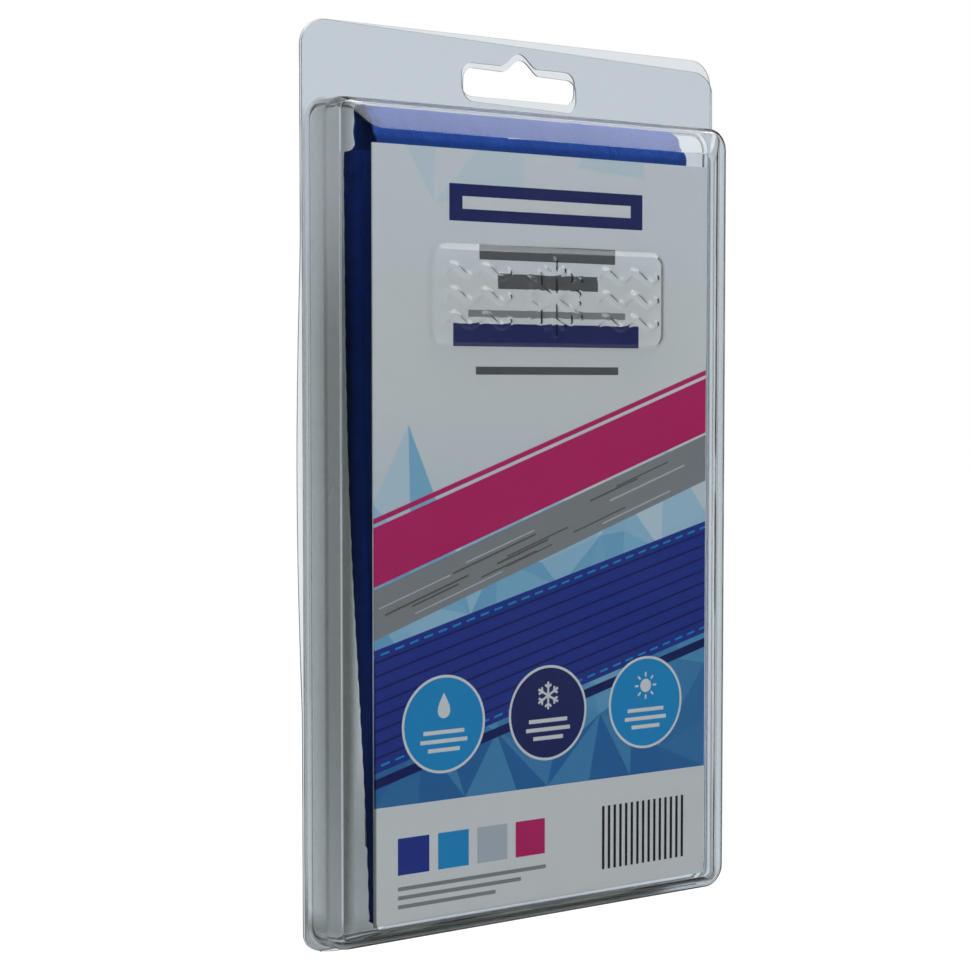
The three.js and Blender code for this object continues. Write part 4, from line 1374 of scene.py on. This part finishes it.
def overlockTree():  # a thread round the seam's edge at every point, by the point's own reach and bulge
    tree, given = ruleTree("overlockLoops", {"Thread": 0.00012, "Slant": 0.1, "Turn": 0.0})
    half = arcCurve(tree, 9, 0.001, -math.pi / 2, math.pi)
    loop = threadAlong(tree, scaled(tree, half, (1.0, seam["reach"], 1.0)), 5, given["Thread"])
    reach, bulge = (addNode(tree, "GeometryNodeInputNamedAttribute", {"Name": name}, data_type="FLOAT")[0]
                    for name in ("reach", "bulge"))
    size = addNode(tree, "ShaderNodeCombineXYZ", {"X": bulge, "Y": reach, "Z": 1.0})
    return closeTree(tree, given, given["Geometry"], loop, Scale=size[0],
                     Rotation=turnBy(tree, given["Slant"], given["Turn"]))


def napTree():  # upright hooks or loops in jittered rows
    tree, given = ruleTree("tapeNap", {
        "Wide": 0.058, "High": 0.014, "Columns": 40, "Rows": 11, "Jitter": 0.0003, "Reach": 0.0005,
        "Thread": 0.00006, "Sweep": 3.14, "Spin": 0.5, "Seed": 3})
    hook = arcCurve(tree, 7, given["Reach"], 0.0, given["Sweep"])
    upright = scaled(tree, hook, (1.0, 1.0, 1.0), Rotation=(math.pi / 2, 0, 0))
    spin = randomValue(tree, given, mathNode(tree, "MULTIPLY", given["Spin"], -1.0), given["Spin"])
    return closeTree(tree, given, jitteredPatch(tree, given), threadAlong(tree, upright, 4, given["Thread"]),
                     Rotation=turnBy(tree, 0.0, spin))


def granuleTree():  # flat-lying granules, each turned and sized at random
    tree, given = ruleTree("granuleBed", {
        "Wide": 0.024, "High": 0.149, "Columns": 11, "Rows": 66, "Jitter": 0.0006, "Radius": 0.0006,
        "Seed": 5})
    grit = addNode(tree, "GeometryNodeMeshIcoSphere", {"Radius": given["Radius"], "Subdivisions": 1})["Mesh"]
    return closeTree(tree, given, jitteredPatch(tree, given), scaled(tree, grit, (1.0, 0.8, 0.24)),
                     Scale=randomValue(tree, given, 0.55, 1.0),
                     Rotation=turnBy(tree, 0.0, randomValue(tree, given, 0.0, 2 * math.pi)))


def runTree(piece, tree, **values):  # inputs go in by identifier, then the result becomes a plain mesh
    rule = piece.modifiers.new("rule", "NODES")
    rule.node_group = tree
    for socket in tree.interface.items_tree:
        if socket.in_out == "INPUT" and socket.name in values:
            rule[socket.identifier] = values[socket.name]
    settle(piece)
    piece.data.polygons.foreach_set("use_smooth", [True] * len(piece.data.polygons))
    return piece


def movePoints(piece, place):  # every point of the mesh goes to place(x, y, z)
    spots = np.zeros(len(piece.data.vertices) * 3)
    piece.data.vertices.foreach_get("co", spots)
    moved = [place(*p) for p in spots.reshape(-1, 3)]
    piece.data.vertices.foreach_set("co", np.array(moved).ravel())
    piece.data.update()
    return piece


seam = {"reach": 2.85, "valley": 0.81, "pair": 0.45}  # overlock threads, in pairs at each drawn-in stitch
stitchRow = stitchTree()
overlockLoops = overlockTree()
tapeNap = napTree()
granuleBed = granuleTree()


# Hook and loop tapes and the sewn label

def tapePiece(name, depth, facing, node, body, nap):  # facing 1 has its nap to the front
    def place(across, up):
        x, z = tape["left"] + tape["wide"] * across, tape["foot"] + tape["high"] * up
        edge = min(insideTrim(tape, x, z))
        return at(x, depth - facing * tape["edgeDrop"] * (1 - ease(edge / tape["edgeRun"])), z), (x, z)

    def napPlace(x, y, z):
        return at(tape["left"] + tape["wide"] / 2 + facing * x / mm,
                  depth + facing * (z / mm - tape["napSunk"]), tape["foot"] + tape["high"] / 2 + y / mm)

    piece = thicken(clothPiece(name, 17, 61, place, tapeFinish, facing < 0), tape["thick"])
    strands = movePoints(runTree(newPiece(name + "Nap"), tapeNap, Finish=napFinish, **nap), napPlace)
    dress(piece, body, "fastener_tape", node)
    dress(strands, body, "fastener_tape")


def labelPiece():
    def place(across, up):
        x, z = label["left"] + label["wide"] * across, label["foot"] + label["high"] * up
        inside = insideTrim(label, x, z)[0]
        turned = label["turned"] * ease((label["turnedEnd"] - inside) / label["turnedRun"])
        lift = label["lift"] + label["slack"] * ripple(x, 3, z, 0.2) + turned  # each end is turned under
        return at(x, coverFrontAt(z) + lift, z), (x, z)

    piece = thicken(clothPiece("sewnLabel", 23, 61, place, labelFinish), label["thick"], 1.0)
    dress(piece, "back_half", "label_tape", "woven_label")


hookNap = {"Reach": 0.0005, "Thread": 0.00007, "Sweep": 2.6, "Spin": 0.25,
           "Columns": 40, "Rows": 10, "Seed": 3}
loopNap = {"Reach": 0.0005, "Thread": 0.00005, "Sweep": 3.1, "Spin": 3.1,
           "Columns": 44, "Rows": 12, "Seed": 8}
tapePiece("loopTape", tape["loopBack"] + tape["thick"], 1, "loop_tape", "back_half",
          loopNap)
tapePiece("hookTape", tape["hookFront"] - tape["thick"], -1, "hook_tape", "flap",
          hookNap)
labelPiece()
print("tapes and label made")


# Inner pouch: two quilted pads with dry granules in their sewn channels

pouch = {
    "inset": 2.25, "foot": 9.65, "top": 172.0, "seam": 3.5, "endSeam": 6.0, "channels": 3,
    "middle": 1.375, "seamHalf": 0.16, "startHalf": 0.30, "mostHalf": 0.61, "drift": 0.0004,
    "rise": 6.0, "dimple": 0.12, "bed": 1.3, "bedWide": 26.0,
    "columns": 59, "rows": 109, "pressure": 4.0, "simScale": 100.0, "frames": 20,
}


def channelSpan(z, number):
    left, right = sewnSides(z, pouch["inset"])
    share = (right - left - pouch["seam"]) / pouch["channels"]
    return left + pouch["seam"] + number * share, left + (number + 1) * share


def quiltShare(x, z):  # 0 in the sewn lines, 1 in the middle of a channel
    ends = min(z - pouch["foot"], pouch["top"] - z) - pouch["endSeam"]
    spans = [channelSpan(z, number) for number in range(pouch["channels"])]
    return max(ease(min(x - left, right - x, ends) / pouch["rise"]) for left, right in spans)


def blownQuilt(points, faces, quilted):  # cloth blown up between its pinned seams
    scale = pouch["simScale"]
    work = newPiece("quiltWork", [p * scale for p in points], faces)
    held = work.vertex_groups.new(name="sewn")
    for k, share in enumerate(quilted):
        held.add([k], 1.0 if share < 0.02 else 0.0, "REPLACE")
    cloth = work.modifiers.new("cloth", "CLOTH")
    cloth.settings.quality = 5
    cloth.settings.use_pressure = True
    cloth.settings.uniform_pressure_force = pouch["pressure"]
    cloth.settings.vertex_group_mass = "sewn"
    cloth.settings.effector_weights.gravity = 0.0
    cloth.collision_settings.use_collision = False
    cloth.point_cache.frame_start = 1
    cloth.point_cache.frame_end = pouch["frames"]
    for step in range(1, pouch["frames"] + 1):
        bpy.context.scene.frame_set(step)
    settle(work)
    blown = [v.co.copy() / scale for v in work.data.vertices]
    mesh = work.data
    bpy.data.objects.remove(work)
    bpy.data.meshes.remove(mesh)
    bpy.context.scene.frame_set(1)
    return blown


def quiltPiece(name, nodes, middleAt, facing):  # facing 1 has its outer cloth to the front
    rows, columns = pouch["rows"], pouch["columns"]
    flat, quilted, places = [], [], []
    for layer in (1, -1):
        for r in shares(rows - 1):
            z = mix(pouch["foot"], pouch["top"], r)
            for c in shares(columns - 1):
                x = mix(*sewnSides(z, pouch["inset"]), c)
                share = quiltShare(x, z)
                flat.append(Vector((x, z, layer * mix(pouch["seamHalf"], pouch["startHalf"], share))) * mm)
                quilted.append(share)
                places.append((x, z))
    outer = sheetFaces(rows, columns)
    base = rows * columns
    border = borderOf(outer)
    faces = outer + [tuple(base + i for i in reversed(f)) for f in outer]
    faces += [(a, a + base, b + base, b) for a, b in zip(border, border[1:] + border[:1])]
    blown = blownQuilt(flat, faces, quilted)
    points = []
    for before, after, share in zip(flat, blown, quilted):
        half = pouch["mostHalf"]
        half -= pouch["dimple"] * share * (0.5 + 0.5 * ripple(before.x / mm, 8, before.y / mm, 0.12))
        start = abs(before.z) / mm
        rise = start + max(0.0, min(abs(after.z - before.z) / mm, half - start))
        drift = Vector((after.x - before.x, after.y - before.y))
        drift = drift * min(1.0, pouch["drift"] / max(drift.length, 1e-9))
        x, z = (before.x + drift.x) / mm, (before.y + drift.y) / mm
        points.append(at(x, middleAt(z) + facing * rise * (1 if before.z > 0 else -1), z))
    piece = newPiece(name, points, faces if facing > 0 else [tuple(reversed(f)) for f in faces], pouchFinish)
    clothUv(piece, places)
    dress(piece, "back_half", "pouch_cloth", *nodes)


def granulesPiece():  # one mesh of granules for all six channels
    beds, nodes = [], []
    for side, cover, facing in (("front", coverFrontAt, -1), ("back", coverBackAt, 1)):
        for number in range(pouch["channels"]):
            bed = runTree(newPiece("pouchGranules"), granuleBed, Finish=granuleFinish,
                          Seed=5 + number + (10 if facing > 0 else 0))

            def place(x, y, z):
                high = (pouch["foot"] + pouch["top"]) / 2 + y / mm
                across = mix(*channelSpan(high, number), 0.5 + x / mm / pouch["bedWide"])
                return at(across, cover(high) + facing * pouch["bed"] + z / mm, high)

            beds.append(movePoints(bed, place))
            nodes.append(f"crystal_{side}_{number + 1}")
    return dress(joinPieces(*beds), "back_half", "dry_crystals", *nodes)


quiltPiece("pouchFront", ("pouch_front_panel", "pouch_front_lining"),
           lambda z: coverFrontAt(z) - pouch["middle"], 1)
quiltPiece("pouchBack", ("pouch_back_panel", "pouch_back_lining"),
           lambda z: coverBackAt(z) + pouch["middle"], -1)
pouchGranules = granulesPiece()
print("pouch made:", len(pouchGranules.data.polygons), "granule faces")


# Stitches and overlock threads, one mesh for each body and thread

def linesPiece(name, lines):  # a mesh of edges, one chain for each line of points
    points, edges = [], []
    for line in lines:
        edges += [(len(points) + k, len(points) + k + 1) for k in range(len(line) - 1)]
        points += line
    return newPiece(name, points, edges=edges)


def boxLine(trim, inset, depthAt):  # a closed line inside a trim's edge
    left, right = trim["left"] + inset, trim["left"] + trim["wide"] - inset
    foot, top = trim["foot"] + inset, trim["foot"] + trim["high"] - inset
    corners = ((left, foot), (right, foot), (right, top), (left, top), (left, foot))
    line = []
    for (ax, az), (bx, bz) in zip(corners, corners[1:]):
        line += [at(mix(ax, bx, s), depthAt(mix(az, bz, s)), mix(az, bz, s)) for s in shares(24)[:-1]]
    return line + [line[0]]


sewing = {  # how far lines of stitches lie from edges and over faces, in mm
    "panelLift": 0.04, "tapeEdge": 1.2, "tapeLift": 0.02, "mouthHems": (2.2, 4.4), "footHem": 3.4,
    "rowEnd": 3.5, "sideFoot": 4.0, "sideTop": 3.0, "side": 2.4,
    "flapLift": 0.38, "flapSide": 2.0, "flapFoot": 1.8, "flapTop": 1.5,
    "labelEdge": 1.0, "labelLift": 0.31,
}


def onPanel(x, z):  # a thread on the front panel
    return at(x, panelFront(x, z) + sewing["panelLift"], z)


def coverStitchLines():
    foot, mouth, edge = wallet["foot"], wallet["mouth"], sewing["tapeEdge"]
    lines = [boxLine(tape, edge, lambda z: tape["loopBack"] + tape["thick"] + sewing["tapeLift"])]
    for z in (*(mouth - down for down in sewing["mouthHems"]), foot + sewing["footHem"]):
        lines.append([onPanel(mix(*sewnSides(z, sewing["rowEnd"]), s), z) for s in shares(90)])
    heights = [mix(foot + sewing["sideFoot"], mouth - sewing["sideTop"], s) for s in shares(140)]
    return lines + [[onPanel(walletEdge(z, side) - side * sewing["side"], z) for z in heights]
                    for side in (-1, 1)]


def flapStitchLines():
    front = flap["slopeEnd"][0] + sewing["flapLift"]
    back = tape["hookFront"] - tape["thick"] - sewing["tapeLift"]
    left, right = sewnSides(wallet["mouth"], flap["inset"] + sewing["flapSide"])
    foot, top = flap["foot"] + sewing["flapFoot"], flap["slopeEnd"][1] - sewing["flapTop"]
    lines = [boxLine(tape, sewing["tapeEdge"], lambda z: depth) for depth in (front, back)]
    lines.append([at(mix(left, right, s), front, foot) for s in shares(80)])
    return lines + [[at(x, front, mix(foot, top, s)) for s in shares(40)] for x in (left, right)]


def overlockPiece(side):
    spots, reaches = [], []
    heights = np.arange(wallet["foot"] + 2.0, wallet["mouth"] - 1.0, 0.05)
    puffs = [seamPuff(z) for z in heights]
    for before, here, after, z in zip(puffs, puffs[1:], puffs[2:], heights[1:]):
        if here > before or here >= after:
            continue
        front, back = seamDepths(z)
        for near in (-seam["pair"], seam["pair"]):
            spots.append(at(walletEdge(z, side) - side * wallet["edge"], (front + back) / 2, z + near))
            reaches.append(((front - back) / 2 + 0.1) / seam["reach"])
    piece = newPiece("overlock", spots)
    for name, values in (("reach", reaches), ("bulge", [seam["valley"]] * len(spots))):
        piece.data.attributes.new(name, "FLOAT", "POINT").data.foreach_set("value", values)
    return runTree(piece, overlockLoops, Finish=threadFinish, Turn=0.0 if side > 0 else math.pi)


tails = {
    "thick": 0.00014,
    "ends": (  # loose thread ends by the top of the left seam: x, depth, z in mm
        ((-48.3, 6.6, 171.5), (-49.1, 6.9, 171.2), (-49.9, 7.2, 170.2), (-50.2, 7.3, 168.8)),
        ((-48.3, 7.2, 171.0), (-49.3, 7.6, 171.4), (-50.3, 7.7, 171.3), (-51.0, 7.6, 170.6)),
        ((-48.3, 6.2, 169.2), (-49.0, 6.3, 168.4), (-49.4, 6.4, 167.0)),
    ),
}


def tailsPiece():
    curve = bpy.data.curves.new("threadTails", "CURVE")
    curve.dimensions = "3D"
    curve.bevel_depth = tails["thick"]
    curve.bevel_resolution = 1
    curve.resolution_u = 5
    for end in tails["ends"]:
        spline = curve.splines.new("NURBS")
        spline.points.add(len(end) - 1)
        for point, place in zip(spline.points, end):
            point.co = (*at(*place), 1)
        spline.use_endpoint_u = True
        spline.order_u = 3
    tail = bpy.data.objects.new("threadTails", curve)
    bpy.context.scene.collection.objects.link(tail)
    mesh = bpy.data.meshes.new_from_object(tail.evaluated_get(bpy.context.evaluated_depsgraph_get()))
    bpy.data.objects.remove(tail)
    piece = newPiece("threadTails")
    piece.data = mesh
    mesh.materials.clear()
    mesh.materials.append(threadFinish)
    return piece


def sewnThreads():
    cover = runTree(linesPiece("coverStitches", coverStitchLines()), stitchRow, Finish=threadFinish)
    for other in (overlockPiece(-1), overlockPiece(1), tailsPiece()):
        joinPieces(cover, other)
    fold = runTree(linesPiece("flapStitches", flapStitchLines()), stitchRow, Finish=threadFinish)
    joinPieces(fold, runTree(linesPiece("flapHem", flapHem), stitchRow, Finish=threadFinish,
                             Length=hem["length"], Width=hem["width"]))
    lift = label["lift"] + sewing["labelLift"]
    box = boxLine(label, sewing["labelEdge"], lambda z: coverFrontAt(z) + lift)
    pale = linesPiece("labelStitches", [box])
    runTree(pale, stitchRow, Finish=paleThread, Pitch=0.0018, Length=0.0013, Width=0.00022)
    dress(cover, "back_half", "seam_thread")
    dress(fold, "flap", "seam_thread")
    dress(pale, "back_half", "label_tape")
    return cover


coverStitches = sewnThreads()
print("stitches made:", len(coverStitches.data.polygons), "faces")


# Stage, lamps and camera

stage = {"floor": -0.435, "left": -0.35, "right": 6.0, "front": -0.45, "back": 6.0}


def brightSide(tree, place, low, high):  # 1 for what is seen, and behind only for what the film mirrors
    path = addNode(tree, "ShaderNodeLightPath")
    front = rangeNode(tree, addNode(tree, "ShaderNodeSeparateXYZ", {0: place})["Y"], 1.0, 0.0, low, high)
    mirrored = mathNode(tree, "MULTIPLY", mathNode(tree, "MINIMUM", path["Glossy Depth"], 1.0), front)
    seen = mathNode(tree, "MAXIMUM", path["Is Camera Ray"], path["Is Transmission Ray"])
    return mathNode(tree, "MULTIPLY", seen, mathNode(tree, "SUBTRACT", 1.0, mirrored))


def paleStage(name, tone):
    material, tree, shader = blankMaterial(name)
    cloud = grainMarks(tree, 60.0, 3.0)["Cloud"]
    fill(shader, {
        "Base Color": rampNode(tree, cloud, (0.3, (tone * 0.985,) * 3), (0.7, (tone,) * 3)),
        "Roughness": 0.9,
        "Emission Color": (1, 1, 1, 1),
        "Emission Strength": brightSide(tree, objectPlace(tree), 0.0, 0.5),
    })
    return material


def floorAndBackdrop():
    left, right, front, back = (stage[side] for side in ("left", "right", "front", "back"))
    corners = ((left, front), (right, front), (right, back), (left, back))
    newPiece("paleFloor", [(x, y, stage["floor"]) for x, y in corners], [(0, 1, 2, 3)],
                      paleStage("paleFloor", 0.30))


def studioWorld():
    world = bpy.data.worlds.new("studio")
    bpy.context.scene.world = world
    world.use_nodes = True
    tree = world.node_tree
    mirrored = addNode(tree, "ShaderNodeLightPath")["Is Glossy Ray"]
    room = fill(tree.nodes["Background"], {"Color": (0.36, 0.38, 0.40, 1),
                                           "Strength": rangeNode(tree, mirrored, 0.28, 0.09)})
    white = addNode(tree, "ShaderNodeBackground", {"Color": (1, 1, 1, 1)})
    way = addNode(tree, "ShaderNodeTexCoord")["Generated"]
    lit = brightSide(tree, way, -0.1, 0.3)
    both = addNode(tree, "ShaderNodeMixShader", {"Fac": lit, 1: room[0], 2: white[0]})
    fill(tree.nodes["World Output"], {"Surface": both[0]})


def aim(name, data, place, target):
    thing = bpy.data.objects.new(name, data)
    bpy.context.scene.collection.objects.link(thing)
    thing.location = place
    thing.rotation_euler = (Vector(target) - Vector(place)).to_track_quat("-Z", "Y").to_euler()
    return thing


def softbox(name, place, target, wide, high, power, mirrored):
    lamp = bpy.data.lights.new(name, "AREA")
    lamp.shape = "RECTANGLE"
    lamp.size, lamp.size_y = wide, high
    lamp.energy = power
    box = aim(name, lamp, place, target)
    box.visible_glossy = mirrored
    box.visible_transmission = mirrored


lamps = (  # name, place, target, width, height, power, whether the film mirrors it
    ("topBox", (0.29, -0.13, 0.42), (0.0, 0.0, -0.05), 0.6, 0.5, 2.1, True),
    ("topFill", (0.0, -0.01, 0.45), (0.0, -0.01, 0.0), 0.5, 0.25, 5.8, False),
    ("frontFill", (-0.40, -0.80, 0.14), (0.0, 0.0, -0.10), 0.7, 0.7, 2.75, False),
    ("leftFill", (-0.62, 0.16, 0.14), (0.0, 0.0, -0.03), 0.25, 0.3, 0.8, False),
    ("windowBox", (0.44, -0.58, 0.29), (-0.02, 0.0, -0.02), 0.05, 0.12, 0.15, True),
)
camera = {
    "place": (-0.275667, -0.395254, -0.075102),
    "target": (-0.009574, 0.0, -0.098253),
    "lens": 76.46,
    "sensor": 36.0,
}


def photoCamera():
    lens = bpy.data.cameras.new("photoCamera")
    lens.lens = camera["lens"]
    lens.sensor_width = camera["sensor"]
    lens.sensor_fit = "HORIZONTAL"
    bpy.context.scene.camera = aim("photoCamera", lens, camera["place"], camera["target"])


floorAndBackdrop()
studioWorld()
for lamp in lamps:
    softbox(*lamp)
photoCamera()
bpy.context.scene.view_settings.view_transform = "Standard"
